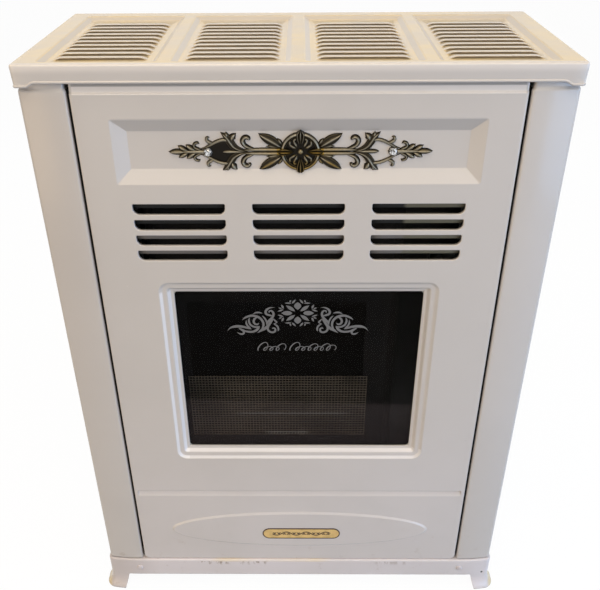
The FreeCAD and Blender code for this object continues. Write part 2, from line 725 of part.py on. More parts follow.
def base_plinth():
    """Folded plinth: rounded top edge, open top with a rim, apron and flared feet at the corners."""
    outer = plan_solid(BASE_LEDGE, FLARE_TOP, BASE_TOP)
    outer = outer.makeFillet(BASE_ROUND, flat_edges(outer, BASE_TOP))
    inner = plan_solid(BASE_LEDGE - BASE_SHEET, FLARE_TOP, BASE_TOP - BASE_SHEET)
    inner = inner.makeFillet(BASE_ROUND - BASE_SHEET, flat_edges(inner, BASE_TOP - BASE_SHEET))
    skirt = outer.cut(inner)
    toes = flare(0).cut(flare(BASE_SHEET))
    plinth = skirt.fuse(toes)
    for opening in foot_openings(APRON_BOTTOM):
        plinth = plinth.cut(opening)
    hole = block(BASE_RIM - BODY_HALF, BODY_HALF - BASE_RIM, BASE_RIM, BODY_REAR - BASE_RIM,
                 BASE_TOP - 2 * BASE_SHEET, BASE_TOP + BASE_SHEET)
    return plinth.cut(hole).removeSplitter()


def bottom_pan():
    """Floor of the cabinet on the plinth's rim, with rows of air slots."""
    half = BODY_HALF - BASE_RIM + PAN_LAP
    front = BASE_RIM - PAN_LAP
    back = BODY_REAR - BASE_RIM + PAN_LAP
    pan = block(-half, half, front, back, BASE_TOP, PAN_TOP)
    slots = []
    middle = (front + back) / 2
    for column in (-1, 1):
        for row in range(PAN_SLOTS):
            depth = middle + (row - (PAN_SLOTS - 1) / 2) * PAN_SLOT_PITCH
            slots.append(flat_plate(column * half / 2, depth, half - 2 * PAN_SLOT_MARGIN, PAN_SLOT_WIDTH,
                                    END_ROUND * PAN_SLOT_WIDTH, BASE_TOP, PAN_TOP))
    return pan.cut(Part.makeCompound(slots))


def rear_panel():
    """Back sheet with two stiffening beads, vent slots and the holes for flue and gas."""
    half = BODY_HALF - BODY_CORNER
    low = BASE_TOP + SEAT_GAP
    high = BODY_TOP - SEAT_GAP
    level = (low + high) / 2
    sheet = block(-half, half, BODY_REAR, REAR_FACE, low, high)
    bead_height = high - low - 2 * BEAD_END
    for side in (-1, 1):
        x = side * (half - BEAD_INSET)
        proud = dish(x, level, BEAD_WIDTH, bead_height, BEAD_SLOPE / 2, REAR_FACE, REAR_FACE + BEAD_PROUD,
                     BEAD_SLOPE)
        hollow = dish(x, level, BEAD_WIDTH, bead_height, BEAD_SLOPE / 2, BODY_REAR, BODY_REAR + BEAD_PROUD,
                      BEAD_SLOPE)
        sheet = sheet.fuse(proud).cut(hollow)
    slots = []
    for column in (-1, 0, 1):
        for row in range(REAR_SLOTS):
            z = low + REAR_SLOT_RISE + row * REAR_SLOT_PITCH
            x = column * REAR_SLOT_COLUMN + CHAMBER_OFFSET
            slots.append(upright_plate(x, z, REAR_SLOT_LENGTH, REAR_SLOT_HEIGHT,
                                       END_ROUND * REAR_SLOT_HEIGHT,
                                       BODY_REAR, REAR_FACE))
    sheet = sheet.cut(Part.makeCompound(slots))
    flue_hole = rod(at(CHAMBER_OFFSET, HOOD_BACK, FLUE_Z), at(CHAMBER_OFFSET, FLUE_END, FLUE_Z),
                    FLUE_RADIUS + FLUE_STEP + FLUE_BEAD)
    gas_hole = rod(at(VALVE_X, BODY_REAR - SHEET, INLET_LEVEL), at(VALVE_X, FLUE_END, INLET_LEVEL),
                   NIPPLE_RADIUS + NIPPLE_HOLE_GAP)
    return sheet.cut(flue_hole).cut(gas_hole)


def rear_screws():
    """Pan-headed screws down both edges of the back sheet."""
    heads = []
    half = BODY_HALF - BODY_CORNER - SCREW_INSET
    span = BODY_TOP - BASE_TOP - 2 * BEND - 2 * SCREW_INSET
    for side in (-1, 1):
        for row in range(SCREW_ROWS):
            z = BASE_TOP + BEND + SCREW_INSET + span * row / (SCREW_ROWS - 1)
            heads.append(screw_head(at(side * half, REAR_FACE, z), Vector(0, 1, 0)))
    return Part.makeCompound(heads)


def screw_head(seat, way):
    """Plain head: a short round rim under a cone that is cut flat."""
    rim = Part.makeCylinder(SCREW_RADIUS, SCREW_HEAD / 2, seat, way)
    crown = Part.makeCone(SCREW_RADIUS, SCREW_CROWN, SCREW_HEAD / 2, seat + way * (SCREW_HEAD / 2), way)
    return rim.fuse(crown)


def foot_screws():
    """One pan-headed screw on the front of each front foot."""
    heads = []
    for side in (-1, 1):
        seat = at(side * (BOW_X - SCREW_RADIUS), -BASE_LEDGE, (APRON_BOTTOM + BASE_TOP) / 2)
        heads.append(screw_head(seat, Vector(0, -1, 0)))
    return Part.makeCompound(heads)


def right_panel_stile():
    """Flat strip behind the side panel's flange; it carries the studs and the ends of the rails."""
    return block(INNER_X - STILE_REACH, INNER_X + RETURN_FLANGE, RETURN, RETURN + SHEET, BASE_TOP + BEND,
                 BODY_TOP - BEND)


def front_rail(low):
    """Angle that ties the two stiles together behind the front panel."""
    front = RETURN + SHEET
    high = low + RAIL_HEIGHT
    upright_leg = block(-INNER_X, INNER_X, front, front + SHEET, low, high)
    shelf = block(-INNER_X, INNER_X, front, front + RAIL_SHELF, high - SHEET, high)
    return upright_leg.fuse(shelf).removeSplitter()


def clip_studs():
    studs = []
    for side in (-1, 1):
        for z in STUD_LEVELS:
            seat = at(side * STUD_X, RETURN, z)
            stud = Part.makeCylinder(STUD_RADIUS, STUD_LENGTH, seat, Vector(0, -1, 0))
            studs.append(stud.makeChamfer(STUD_RADIUS / 3, [stud.Edges[0]]))
    return Part.makeCompound(studs)


def panel_clips():
    """Sprung U-clips on the back of the front panel; two leaves straddle each stud."""
    clips = []
    inside = STUD_RADIUS + SEAT_GAP
    outside = inside + CLIP_LEAF
    for side in (-1, 1):
        for z in STUD_LEVELS:
            x0 = side * STUD_X - CLIP_WIDTH / 2
            x1 = side * STUD_X + CLIP_WIDTH / 2
            back = block(x0, x1, SHEET, SHEET + CLIP_LEAF, z - outside, z + outside)
            above = block(x0, x1, SHEET, SHEET + CLIP_BACK, z + inside, z + outside)
            below = block(x0, x1, SHEET, SHEET + CLIP_BACK, z - outside, z - inside)
            clips.append(union([back, above, below]))
    return Part.makeCompound(clips)


def panel_form(offset):
    """Outer form of the front panel, shrunk by an offset, with its rounded edges and leaning top band."""
    level = (PANEL_BOTTOM + PANEL_TOP) / 2
    form = upright_plate(0, level, 2 * (PANEL_HALF - offset), PANEL_TOP - PANEL_BOTTOM - 2 * offset,
                         PANEL_CORNER - offset, offset, PANEL_EDGE)
    front = FRONT_Y + offset
    rim = [edge for edge in form.Edges if edge.BoundBox.YMax < front + SEAT_GAP]
    form = form.makeFillet(BEND - offset, rim)
    lean = BAND_LEAN / BAND_HEIGHT
    above = BAND_HEIGHT
    wedge = [at(-COVER_WIDTH, offset, PANEL_TOP - BAND_HEIGHT),
             at(-COVER_WIDTH, offset + lean * (BAND_HEIGHT + above), PANEL_TOP + above),
             at(-COVER_WIDTH, -COVER_DEPTH, PANEL_TOP + above),
             at(-COVER_WIDTH, -COVER_DEPTH, PANEL_TOP - BAND_HEIGHT)]
    return form.cut(prism(wedge, Vector(2 * COVER_WIDTH, 0, 0)))


def oval(width, height, depth):
    curve = Part.Ellipse(at(0, depth, OVAL_Z), width / 2, height / 2)
    shape = curve.toShape()
    shape.rotate(at(0, depth, OVAL_Z), Vector(1, 0, 0), 90)
    return Part.Wire(shape)


def pressed(form, shift):
    """Presses the recess, the window surround, the groove and the oval into a form, at a depth shift."""
    step_width = SURROUND_WIDTH - 2 * (SURROUND_SLOPE + SURROUND_SHELF)
    step_height = SURROUND_HEIGHT - 2 * (SURROUND_SLOPE + SURROUND_SHELF)
    step_slope = SURROUND - SURROUND_SLOPE - SURROUND_SHELF - WINDOW_FLANGE
    corner = WINDOW_ROUND + SURROUND_SLOPE
    recess = dish(0, RECESS_Z, RECESS_WIDTH, RECESS_HEIGHT, RECESS_CORNER, shift, shift + RECESS_DEPTH,
                  RECESS_SLOPE)
    surround = dish(0, SURROUND_Z, SURROUND_WIDTH, SURROUND_HEIGHT, corner, shift, shift + SURROUND_STEP,
                    SURROUND_SLOPE)
    step = dish(0, SURROUND_Z, step_width, step_height, WINDOW_ROUND, shift + SURROUND_STEP,
                shift + SURROUND_DEPTH, step_slope)
    groove = dish(0, GROOVE_Z, 2 * (PANEL_HALF - GROOVE_END), GROOVE_WIDTH, GROOVE_ROUND,
                  shift, shift + GROOVE_DEPTH, GROOVE_SLOPE)
    swell = Part.makeLoft([oval(OVAL_WIDTH, OVAL_HEIGHT, shift),
                           oval(OVAL_WIDTH - 2 * OVAL_SLOPE, OVAL_HEIGHT - 2 * OVAL_SLOPE,
                                shift - OVAL_PROUD)],
                          True, True)
    return form.cut(recess).cut(surround).cut(step).cut(groove).fuse(swell)


def slot_places():
    for group in range(SLOT_GROUPS):
        x = (group - (SLOT_GROUPS - 1) / 2) * SLOT_GROUP_PITCH
        for row in range(SLOT_ROWS):
            yield x, SLOT_TOP - SLOT_HEIGHT / 2 - row * SLOT_ROW_PITCH


def front_panel():
    """One pressed sheet: turned edges, ornament recess, collared slots, stepped window, groove and oval."""
    sheet = pressed(panel_form(0), 0).cut(pressed(panel_form(SHEET), SHEET))
    window = upright_plate(0, SURROUND_Z, WINDOW_WIDTH, WINDOW_HEIGHT, WINDOW_ROUND,
                           SURROUND_DEPTH - SHEET, SURROUND_DEPTH + 2 * SHEET)
    collars = []
    slots = []
    for x, z in slot_places():
        collars.append(upright_plate(x, z, SLOT_LENGTH + 2 * SHEET, SLOT_HEIGHT + 2 * SHEET,
                                     SLOT_ROUND + SHEET,
                                     SHEET / 2, SHEET + SLOT_COLLAR, SLOT_UPPER_ROUND + SHEET))
        slots.append(upright_plate(x, z, SLOT_LENGTH, SLOT_HEIGHT, SLOT_ROUND, -SHEET,
                                   2 * SHEET + SLOT_COLLAR,
                                   SLOT_UPPER_ROUND))
    sheet = sheet.multiFuse(collars)
    return sheet.cut(Part.makeCompound(slots)).cut(window).removeSplitter()


def window_glass():
    return upright_plate(0, SURROUND_Z, WINDOW_WIDTH + 2 * GLASS_LAP, WINDOW_HEIGHT + 2 * GLASS_LAP,
                         WINDOW_ROUND,
                         GLASS_FRONT, GLASS_FRONT + GLASS_THICK)


def window_gasket():
    """Flat cord between the sheet and the pane, just behind the edge of the opening."""
    front = GLASS_FRONT - GASKET_THICK
    ring = upright_plate(0, SURROUND_Z, WINDOW_WIDTH + GLASS_LAP, WINDOW_HEIGHT + GLASS_LAP, WINDOW_ROUND,
                         front, GLASS_FRONT)
    hole = upright_plate(0, SURROUND_Z, WINDOW_WIDTH, WINDOW_HEIGHT, WINDOW_ROUND, front, GLASS_FRONT)
    return ring.cut(hole)


def glass_clips():
    """Cranked clips, two at each side, from the back of the panel over the edge of the pane."""
    clips = []
    glass_edge = WINDOW_WIDTH / 2 + GLASS_LAP
    foot_x = SURROUND_WIDTH / 2 + SHEET
    back = GLASS_FRONT + GLASS_THICK
    thick = GLASS_CLIP_THICK
    outline = [(foot_x + GLASS_CLIP_FOOT, SHEET), (foot_x + GLASS_CLIP_FOOT, SHEET + thick),
               (foot_x + thick, SHEET + thick), (foot_x + thick, back + thick),
               (glass_edge - GLASS_CLIP_GRIP, back + thick), (glass_edge - GLASS_CLIP_GRIP, back),
               (foot_x, back), (foot_x, SHEET)]
    for side in (-1, 1):
        for z in (SURROUND_Z - WINDOW_HEIGHT / 3, SURROUND_Z + WINDOW_HEIGHT / 3):
            points = [at(side * x, depth, z - GLASS_CLIP_WIDTH / 2) for x, depth in outline]
            clips.append(prism(points, Vector(0, 0, GLASS_CLIP_WIDTH)))
    return Part.makeCompound(clips)


def badge_plate():
    """Thin plain plate with round ends, stuck a little off centre on the raised oval of the front panel."""
    end = BADGE_HEIGHT / 2
    reach = BADGE_WIDTH / 2 - end
    bar = block(BADGE_SHIFT - reach, BADGE_SHIFT + reach, -OVAL_PROUD - BADGE_THICK, -OVAL_PROUD,
                OVAL_Z - end, OVAL_Z + end)
    caps = []
    for side in (-1, 1):
        x = BADGE_SHIFT + side * reach
        caps.append(rod(at(x, -OVAL_PROUD, OVAL_Z), at(x, -OVAL_PROUD - BADGE_THICK, OVAL_Z), end))
    return bar.multiFuse(caps).removeSplitter()


def on_recess(u, v):
    """Point on the recess floor, in steps of the grid that the applique is drawn on."""
    step = ORNAMENT_REACH / ORNAMENT_GRID
    return at(u * step, RECESS_DEPTH, RECESS_Z + v * step)


def relief(outline, height):
    return Part.Face(outline).extrude(Vector(0, -height, 0))


def leaf(u0, v0, u1, v1, width, height=LEAF_HEIGHT):
    """Pointed leaf between two grid points, bounded by two arcs; the width is in grid steps too."""
    base = on_recess(u0, v0)
    tip = on_recess(u1, v1)
    slant = math.hypot(u1 - u0, v1 - v0)
    swell_u = (v0 - v1) * width / slant / 2
    swell_v = (u1 - u0) * width / slant / 2
    left = on_recess((u0 + u1) / 2 + swell_u, (v0 + v1) / 2 + swell_v)
    right = on_recess((u0 + u1) / 2 - swell_u, (v0 + v1) / 2 - swell_v)
    return relief(Part.Wire([Part.Arc(base, left, tip).toShape(), Part.Arc(tip, right, base).toShape()]),
                  height)


def stem(start, middle, end):
    """Band of even width along an arc through three grid points, with square ends."""
    points = [on_recess(*place) for place in (start, middle, end)]
    centre = Part.Arc(*points).toShape().Curve.Center
    inner = []
    outer = []
    for point in points:
        ray = (point - centre).normalize() * (STEM_WIDTH / 2)
        inner.append(point - ray)
        outer.append(point + ray)
    outline = Part.Wire([Part.Arc(*inner).toShape(), Part.makeLine(inner[2], outer[2]),
                         Part.Arc(*reversed(outer)).toShape(), Part.makeLine(outer[0], inner[0])])
    return relief(outline, STEM_HEIGHT)


def bar(u0, u1, half):
    """Straight stem along the middle line."""
    corners = [on_recess(u0, -half), on_recess(u1, -half), on_recess(u1, half), on_recess(u0, half)]
    return relief(Part.makePolygon(corners + corners[:1]), STEM_HEIGHT)


def disc(u, v, radius, height):
    return Part.makeCylinder(radius, height, on_recess(u, v), Vector(0, -1, 0))


def ornament_half():
    """Right half of the applique: leaves, hooked scrolls, trefoil branches, stud seat and tail."""
    parts = [bar(16, 62, 3), bar(CRYSTAL_PLACE, 129, 1.7)]
    parts.append(leaf(2, 0, 26, 0, 8, ROSETTE_HEIGHT))
    parts.append(leaf(56, 0, 82, 0, 7))
    parts.append(leaf(119, 0, ORNAMENT_GRID, 0, 5.5))
    parts.append(disc(CRYSTAL_PLACE, 0, CRYSTAL_RADIUS + SEAT_RIM, STEM_HEIGHT))
    for side in (-1, 1):
        parts.append(leaf(18, 2.5 * side, 45, 18.5 * side, 10))
        parts.append(leaf(20, 5 * side, 30, 14 * side, 6))
        parts.append(stem((46, 1.5 * side), (56, 4.5 * side), (61, 11 * side)))
        parts.append(stem((61, 10.5 * side), (57, 15.5 * side), (53, 12.5 * side)))
        parts.append(leaf(56, 14.5 * side, 51, 10.5 * side, 4))
        parts.append(stem((56, 1.5 * side), (70, 5.5 * side), (77, 17 * side)))
        parts.append(leaf(78, 13 * side, 69, 20 * side, 4))
        parts.append(leaf(76, 13 * side, 84, 20.5 * side, 5))
        parts.append(stem((76, 13 * side), (88, 10 * side), (CRYSTAL_PLACE, 1.5 * side)))
        parts.append(stem((91, 8 * side), (96, 9.5 * side), (97, 14 * side)))
        parts.append(stem((100, 1 * side), (107, 4 * side), (109, 8.5 * side)))
        for u in (105, 112, 118):
            parts.append(leaf(u - 2, -1 * side, u + 7, 6.5 * side, 3.6))
    return parts


def ornament():
    """Cast applique: ringed rosette with two like wings."""
    half = ornament_half()
    outer = on_recess(19.5, 0).x
    inner = on_recess(16, 0).x
    boss = on_recess(7, 0).x
    middle = [disc(0, 0, outer, STEM_HEIGHT).cut(disc(0, 0, inner, STEM_HEIGHT)),
              disc(0, 0, boss, LEAF_HEIGHT)]
    for side in (-1, 1):
        middle.append(leaf(0, 2 * side, 0, 22 * side, 10, ROSETTE_HEIGHT))
        middle.append(leaf(3, 3 * side, 12, 11 * side, 5))
        middle.append(leaf(-3, 3 * side, -12, 11 * side, 5))
    bead = Part.makeSphere(BEAD_RADIUS, on_recess(0, 0) + Vector(0, -ROSETTE_HEIGHT, 0))
    return union(half + [mirrored(shape) for shape in half] + middle + [bead])


def ornament_crystals():
    """Two faceted clear studs on their seats: a wide girdle and a small table."""
    studs = []
    for side in (-1, 1):
        seat = on_recess(side * CRYSTAL_PLACE, 0) + Vector(0, -STEM_HEIGHT, 0)
        rings = []
        for radius, lift in ((CRYSTAL_RADIUS, 0), (CRYSTAL_TABLE, CRYSTAL_HEIGHT)):
            points = []
            for index in range(CRYSTAL_FACETS):
                angle = 2 * math.pi * index / CRYSTAL_FACETS
                points.append(seat + Vector(radius * math.cos(angle), -lift, radius * math.sin(angle)))
            rings.append(Part.makePolygon(points + points[:1]))
        studs.append(Part.makeLoft(rings, True, True))
    return Part.makeCompound(studs)


def combustion_chamber():
    """Welded steel box with rounded corners: front opening, flue outlet, burner hole and lead gland."""
    outer = block(CHAMBER_LEFT, CHAMBER_RIGHT, CHAMBER_FRONT, CHAMBER_BACK, CHAMBER_BOTTOM, CHAMBER_TOP)
    outer = outer.makeFillet(CHAMBER_ROUND, vertical_edges(outer, CHAMBER_BOTTOM, CHAMBER_TOP))
    wall = CHAMBER_WALL
    inner = block(CHAMBER_LEFT + wall, CHAMBER_RIGHT - wall, CHAMBER_FRONT + wall, CHAMBER_BACK - wall,
                  CHAMBER_FLOOR, CHAMBER_TOP - wall)
    inner = inner.makeFillet(CHAMBER_ROUND - wall, vertical_edges(inner, CHAMBER_FLOOR, CHAMBER_TOP - wall))
    opening = upright_plate(CHAMBER_OFFSET, OPENING_BOTTOM + OPENING_HEIGHT / 2, OPENING_WIDTH,
                            OPENING_HEIGHT,
                            WINDOW_ROUND, CHAMBER_FRONT, CHAMBER_FRONT + wall)
    outlet = rod(at(CHAMBER_OFFSET, CHAMBER_BACK - 2 * wall, FLUE_Z), at(CHAMBER_OFFSET, HOOD_BACK, FLUE_Z),
                 FLUE_RADIUS - FLUE_WALL)
    burner_hole = rod(at(CHAMBER_RIGHT - 2 * wall, BURNER_D, BURNER_Z), at(BURNER_END, BURNER_D, BURNER_Z),
                      BURNER_RADIUS + SEAT_GAP)
    leads = [CHAMBER_FLOOR + LEAD_FLOOR - GLAND_MARGIN,
             CHAMBER_FLOOR + LEAD_FLOOR + 2 * LEAD_STEP + GLAND_MARGIN]
    gland = block(CHAMBER_RIGHT - 2 * wall, CHAMBER_RIGHT + wall, PILOT_D - GLAND_MARGIN,
                  PILOT_D + GLAND_MARGIN, *leads)
    return outer.cut(inner).cut(opening).cut(outlet).cut(burner_hole).cut(gland)


def chamber_supports():
    """Two channels that stand the chamber on the pan."""
    channels = []
    front = CHAMBER_FRONT + STAND_SETBACK
    back = CHAMBER_BACK - STAND_SETBACK
    for x in (CHAMBER_LEFT + STAND_INSET, CHAMBER_RIGHT - STAND_INSET):
        half = STAND_WIDTH / 2
        outer = block(x - half, x + half, front, back, PAN_TOP, CHAMBER_BOTTOM)
        inner = block(x - half + CHAMBER_WALL, x + half - CHAMBER_WALL, front, back, PAN_TOP,
                      CHAMBER_BOTTOM - CHAMBER_WALL)
        channels.append(outer.cut(inner))
    return Part.makeCompound(channels)


def radiant_mesh():
    """Screen in a rim on the chamber's front, over the lower part of the opening."""
    low = OPENING_BOTTOM - MESH_LAP
    width = OPENING_WIDTH + 2 * MESH_LAP
    screen = block(CHAMBER_OFFSET - width / 2, CHAMBER_OFFSET + width / 2, CHAMBER_FRONT - MESH_THICK,
                   CHAMBER_FRONT,
                   low, low + MESH_HEIGHT)
    cell_x = (width - 2 * MESH_RIM + MESH_WIRE) / MESH_COLUMNS
    cell_z = (MESH_HEIGHT - 2 * MESH_RIM + MESH_WIRE) / MESH_ROWS
    gaps = []
    for column in range(MESH_COLUMNS):
        for row in range(MESH_ROWS):
            x = CHAMBER_OFFSET - width / 2 + MESH_RIM + column * cell_x
            z = low + MESH_RIM + row * cell_z
            gaps.append(block(x, x + cell_x - MESH_WIRE, CHAMBER_FRONT - MESH_THICK, CHAMBER_FRONT,
                              z, z + cell_z - MESH_WIRE))
    return screen.cut(Part.makeCompound(gaps))


def flue_hood():
    """Box on the chamber's back that turns the fumes into the spigot."""
    half = HOOD_WIDTH / 2
    outer = block(CHAMBER_OFFSET - half, CHAMBER_OFFSET + half, CHAMBER_BACK, HOOD_BACK, FLUE_Z - half,
                  FLUE_Z + half)
    inset = half - CHAMBER_WALL
    inner = block(CHAMBER_OFFSET - inset, CHAMBER_OFFSET + inset, CHAMBER_BACK, HOOD_BACK - CHAMBER_WALL,
                  FLUE_Z - inset, FLUE_Z + inset)
    mouth = rod(at(CHAMBER_OFFSET, CHAMBER_BACK, FLUE_Z), at(CHAMBER_OFFSET, FLUE_END, FLUE_Z),
                FLUE_RADIUS - FLUE_WALL)
    return outer.cut(inner).cut(mouth)


def flue_spigot():
    """Turned tube: plain part through the back, stop bead and the free end that a pipe fits over."""
    plain = FLUE_RADIUS + FLUE_STEP
    bead_start = FLUE_END - FLUE_LENGTH - FLUE_BEAD_LENGTH
    bead_end = FLUE_END - FLUE_LENGTH
    bore = FLUE_RADIUS - FLUE_WALL
    crown = plain + FLUE_BEAD / 2
    outline = [(bore, HOOD_BACK), (plain, HOOD_BACK), (plain, bead_start), (crown, bead_start),
               (crown, bead_end), (FLUE_RADIUS, bead_end), (FLUE_RADIUS, FLUE_END), (bore, FLUE_END)]
    points = [at(CHAMBER_OFFSET + radius, depth, FLUE_Z) for radius, depth in outline]
    profile = Part.Face(Part.makePolygon(points + points[:1]))
    return profile.revolve(at(CHAMBER_OFFSET, 0, FLUE_Z), Vector(0, 1, 0), 360)


def flue_collar():
    """Flat ring that closes the hole in the back sheet round the spigot."""
    start = at(CHAMBER_OFFSET, REAR_FACE, FLUE_Z)
    way = Vector(0, 1, 0)
    hole = FLUE_RADIUS + FLUE_STEP
    ring = Part.makeCylinder(hole + COLLAR_WIDTH, COLLAR_THICK, start, way)
    return ring.cut(Part.makeCylinder(hole + SEAT_GAP, COLLAR_THICK, start, way))


def rear_heat_shield():
    """Hat-shaped sheet on the back panel, below the flue hood."""
    half = CHAMBER_WIDTH / 2 - SHIELD_INSET
    front = BODY_REAR - SHIELD_GAP
    thick = SHIELD_SHEET
    outline = [(-half - SHIELD_FOOT, BODY_REAR), (-half, BODY_REAR), (-half, front + thick),
               (half, front + thick),
               (half, BODY_REAR), (half + SHIELD_FOOT, BODY_REAR), (half + SHIELD_FOOT, BODY_REAR - thick),
               (half + thick, BODY_REAR - thick), (half + thick, front), (-half - thick, front),
               (-half - thick, BODY_REAR - thick), (-half - SHIELD_FOOT, BODY_REAR - thick)]
    low = CHAMBER_BOTTOM + SHIELD_LOW
    high = FLUE_Z - HOOD_WIDTH / 2 - SHIELD_HIGH
    points = [at(CHAMBER_OFFSET + x, depth, low) for x, depth in outline]
    return prism(points, Vector(0, 0, high - low))


def burner_tube():
    """Closed tube with a row of slotted ports along its top and a threaded tail outside the chamber."""
    left = BURNER_START
    tube = rod(at(left, BURNER_D, BURNER_Z), at(BURNER_END, BURNER_D, BURNER_Z), BURNER_RADIUS)
    bore = rod(at(left + BURNER_WALL, BURNER_D, BURNER_Z), at(BURNER_END - BURNER_WALL, BURNER_D, BURNER_Z),
               BURNER_RADIUS - BURNER_WALL)
    jet = rod(at(BURNER_END - 2 * BURNER_WALL, BURNER_D, BURNER_Z),
              at(BURNER_END + BURNER_WALL, BURNER_D, BURNER_Z),
              JET_RADIUS)
    ports = []
    span = BURNER_END - left - 2 * BURNER_TAIL - 2 * BURNER_RADIUS
    for port in range(PORT_COUNT):
        x = left + BURNER_RADIUS + span * port / (PORT_COUNT - 1)
        ports.append(block(x, x + PORT_WIDTH, BURNER_D - PORT_LENGTH / 2, BURNER_D + PORT_LENGTH / 2,
                           BURNER_Z + BURNER_RADIUS / 2, BURNER_Z + BURNER_RADIUS + BURNER_WALL))
    return tube.cut(bore).cut(jet).cut(Part.makeCompound(ports))


def burner_brackets():
    """Two cradles from the chamber floor to the burner."""
    cradles = []
    seat = rod(at(CHAMBER_LEFT, BURNER_D, BURNER_Z), at(CHAMBER_RIGHT, BURNER_D, BURNER_Z),
               BURNER_RADIUS + PROBE_FIT)
    for x in (CHAMBER_LEFT + STAND_INSET, CHAMBER_RIGHT - 2 * STAND_INSET):
        half = BRACKET_WIDTH / 2
        web = block(x, x + BRACKET_THICK, BURNER_D - half, BURNER_D + half, CHAMBER_FLOOR, BURNER_Z)
        foot = block(x, x + STAND_WIDTH / 2, BURNER_D - half, BURNER_D + half, CHAMBER_FLOOR,
                     CHAMBER_FLOOR + BRACKET_THICK)
        cradles.append(web.fuse(foot).cut(seat).removeSplitter())
    return Part.makeCompound(cradles)


def injector():
    """Turned jet holder on the burner's tail, with a hexagonal grip."""
    start = at(BURNER_END, BURNER_D, BURNER_Z)
    body = Part.makeCylinder(INJECTOR_RADIUS, INJECTOR_LENGTH, start, Vector(1, 0, 0))
    bore = Part.makeCylinder(JET_RADIUS, INJECTOR_LENGTH, start, Vector(1, 0, 0))
    grip = hexagon(start + Vector(INJECTOR_LENGTH / 3, 0, 0), INJECTOR_HEX,
                   Vector(INJECTOR_LENGTH / 3, 0, 0))
    return union([body, grip]).cut(bore)


def hexagon(centre, radius, sweep):
    """Six-sided prism along a sweep that is parallel to x or to the depth."""
    along_x = abs(sweep.x) > abs(sweep.y)
    points = []
    for index in range(6):
        u = radius * math.cos(math.pi * index / 3)
        v = radius * math.sin(math.pi * index / 3)
        points.append(centre + (Vector(0, u, v) if along_x else Vector(u, 0, v)))
    return prism(points, sweep)


def gas_pipe():
    """From the injector along and up to the valve's outlet."""
    start = at(BURNER_END + INJECTOR_LENGTH, BURNER_D, BURNER_Z)
    corner = at(VALVE_X, BURNER_D, BURNER_Z)
    end = at(VALVE_X, BURNER_D, VALVE_BOTTOM - UNION_HEIGHT)
    return pipe([start, corner, end], GAS_PIPE_RADIUS, GAS_PIPE_BEND)


def pilot_bracket():
    """Cranked strip: foot on the chamber floor, web, and a shelf that the pilot parts hang in."""
    web_x = ELECTRODE_X + SHELF_LENGTH / 4
    front = PILOT_D - SHELF_HALF_WIDTH
    back = PILOT_D + SHELF_HALF_WIDTH - SHEET
    gate = block(web_x - SHELF_THICK, web_x + SHELF_THICK, PILOT_D - GLAND_MARGIN, PILOT_D + GLAND_MARGIN,
                 CHAMBER_FLOOR, SHELF_TOP - 2 * SHELF_THICK)
    foot = block(web_x - SHELF_THICK, web_x + SHELF_LENGTH / 4, front, back, CHAMBER_FLOOR,
                 CHAMBER_FLOOR + SHELF_THICK)
    web = block(web_x - SHELF_THICK, web_x, front, back, CHAMBER_FLOOR, SHELF_TOP)
    shelf = block(web_x - SHELF_LENGTH, web_x, front, back, SHELF_TOP - SHELF_THICK, SHELF_TOP)
    strip = union([foot, web.cut(gate), shelf])
    for x, radius in ((PILOT_X, PILOT_RADIUS), (ELECTRODE_X, ELECTRODE_RADIUS), (THERMO_X, THERMO_RADIUS)):
        strip = strip.cut(rod(at(x, PILOT_D, SHELF_TOP - 2 * SHELF_THICK),
                              at(x, PILOT_D, SHELF_TOP + SHELF_THICK),
                              radius + PROBE_FIT))
    return strip


def probe(x, radius, top):
    """Upright stem through the shelf, with the collar that it rests on."""
    body = rod(at(x, PILOT_D, PROBE_BOTTOM), at(x, PILOT_D, SHELF_TOP + top), radius)
    collar = rod(at(x, PILOT_D, SHELF_TOP), at(x, PILOT_D, SHELF_TOP + PROBE_COLLAR_HEIGHT),
                 radius + PROBE_COLLAR)
    return body.fuse(collar).removeSplitter()


def pilot_burner():
    """Hooded jet whose side mouth faces the main burner."""
    body = probe(PILOT_X, PILOT_RADIUS, PILOT_TOP)
    mouth = block(PILOT_X - PILOT_RADIUS / 2, PILOT_X + PILOT_RADIUS / 2, PILOT_D,
                  PILOT_D + 2 * PILOT_RADIUS,
                  SHELF_TOP + PILOT_TOP - 2 * PILOT_RADIUS, SHELF_TOP + PILOT_TOP - PILOT_RADIUS)
    return body.cut(mouth)


def thermocouple():
    """Probe and its capillary lead to the valve, in one piece."""
    body = probe(THERMO_X, THERMO_RADIUS, THERMO_TOP)
    body = body.makeFillet(THERMO_RADIUS * 0.8, flat_edges(body, SHELF_TOP + THERMO_TOP))
    run = CHAMBER_FLOOR + LEAD_FLOOR
    lead = pipe([at(THERMO_X, PILOT_D, PROBE_BOTTOM), at(THERMO_X, PILOT_D, run),
                 at(THERMO_RISER_X, PILOT_D, run),
                 at(THERMO_RISER_X, PILOT_D, VALVE_BOTTOM - UNION_HEIGHT)], THERMO_LEAD_RADIUS, LEAD_BEND)
    return body.fuse(lead)


def spark_electrode():
    """Ceramic stem with a bent wire tip that points at the pilot."""
    body = probe(ELECTRODE_X, ELECTRODE_RADIUS, ELECTRODE_TOP)
    tip = rod(at(ELECTRODE_X, PILOT_D, SHELF_TOP + ELECTRODE_TOP),
              at(ELECTRODE_X, PILOT_D, SHELF_TOP + ELECTRODE_TOP + ELECTRODE_TIP), ELECTRODE_WIRE)
    return body.fuse(tip)


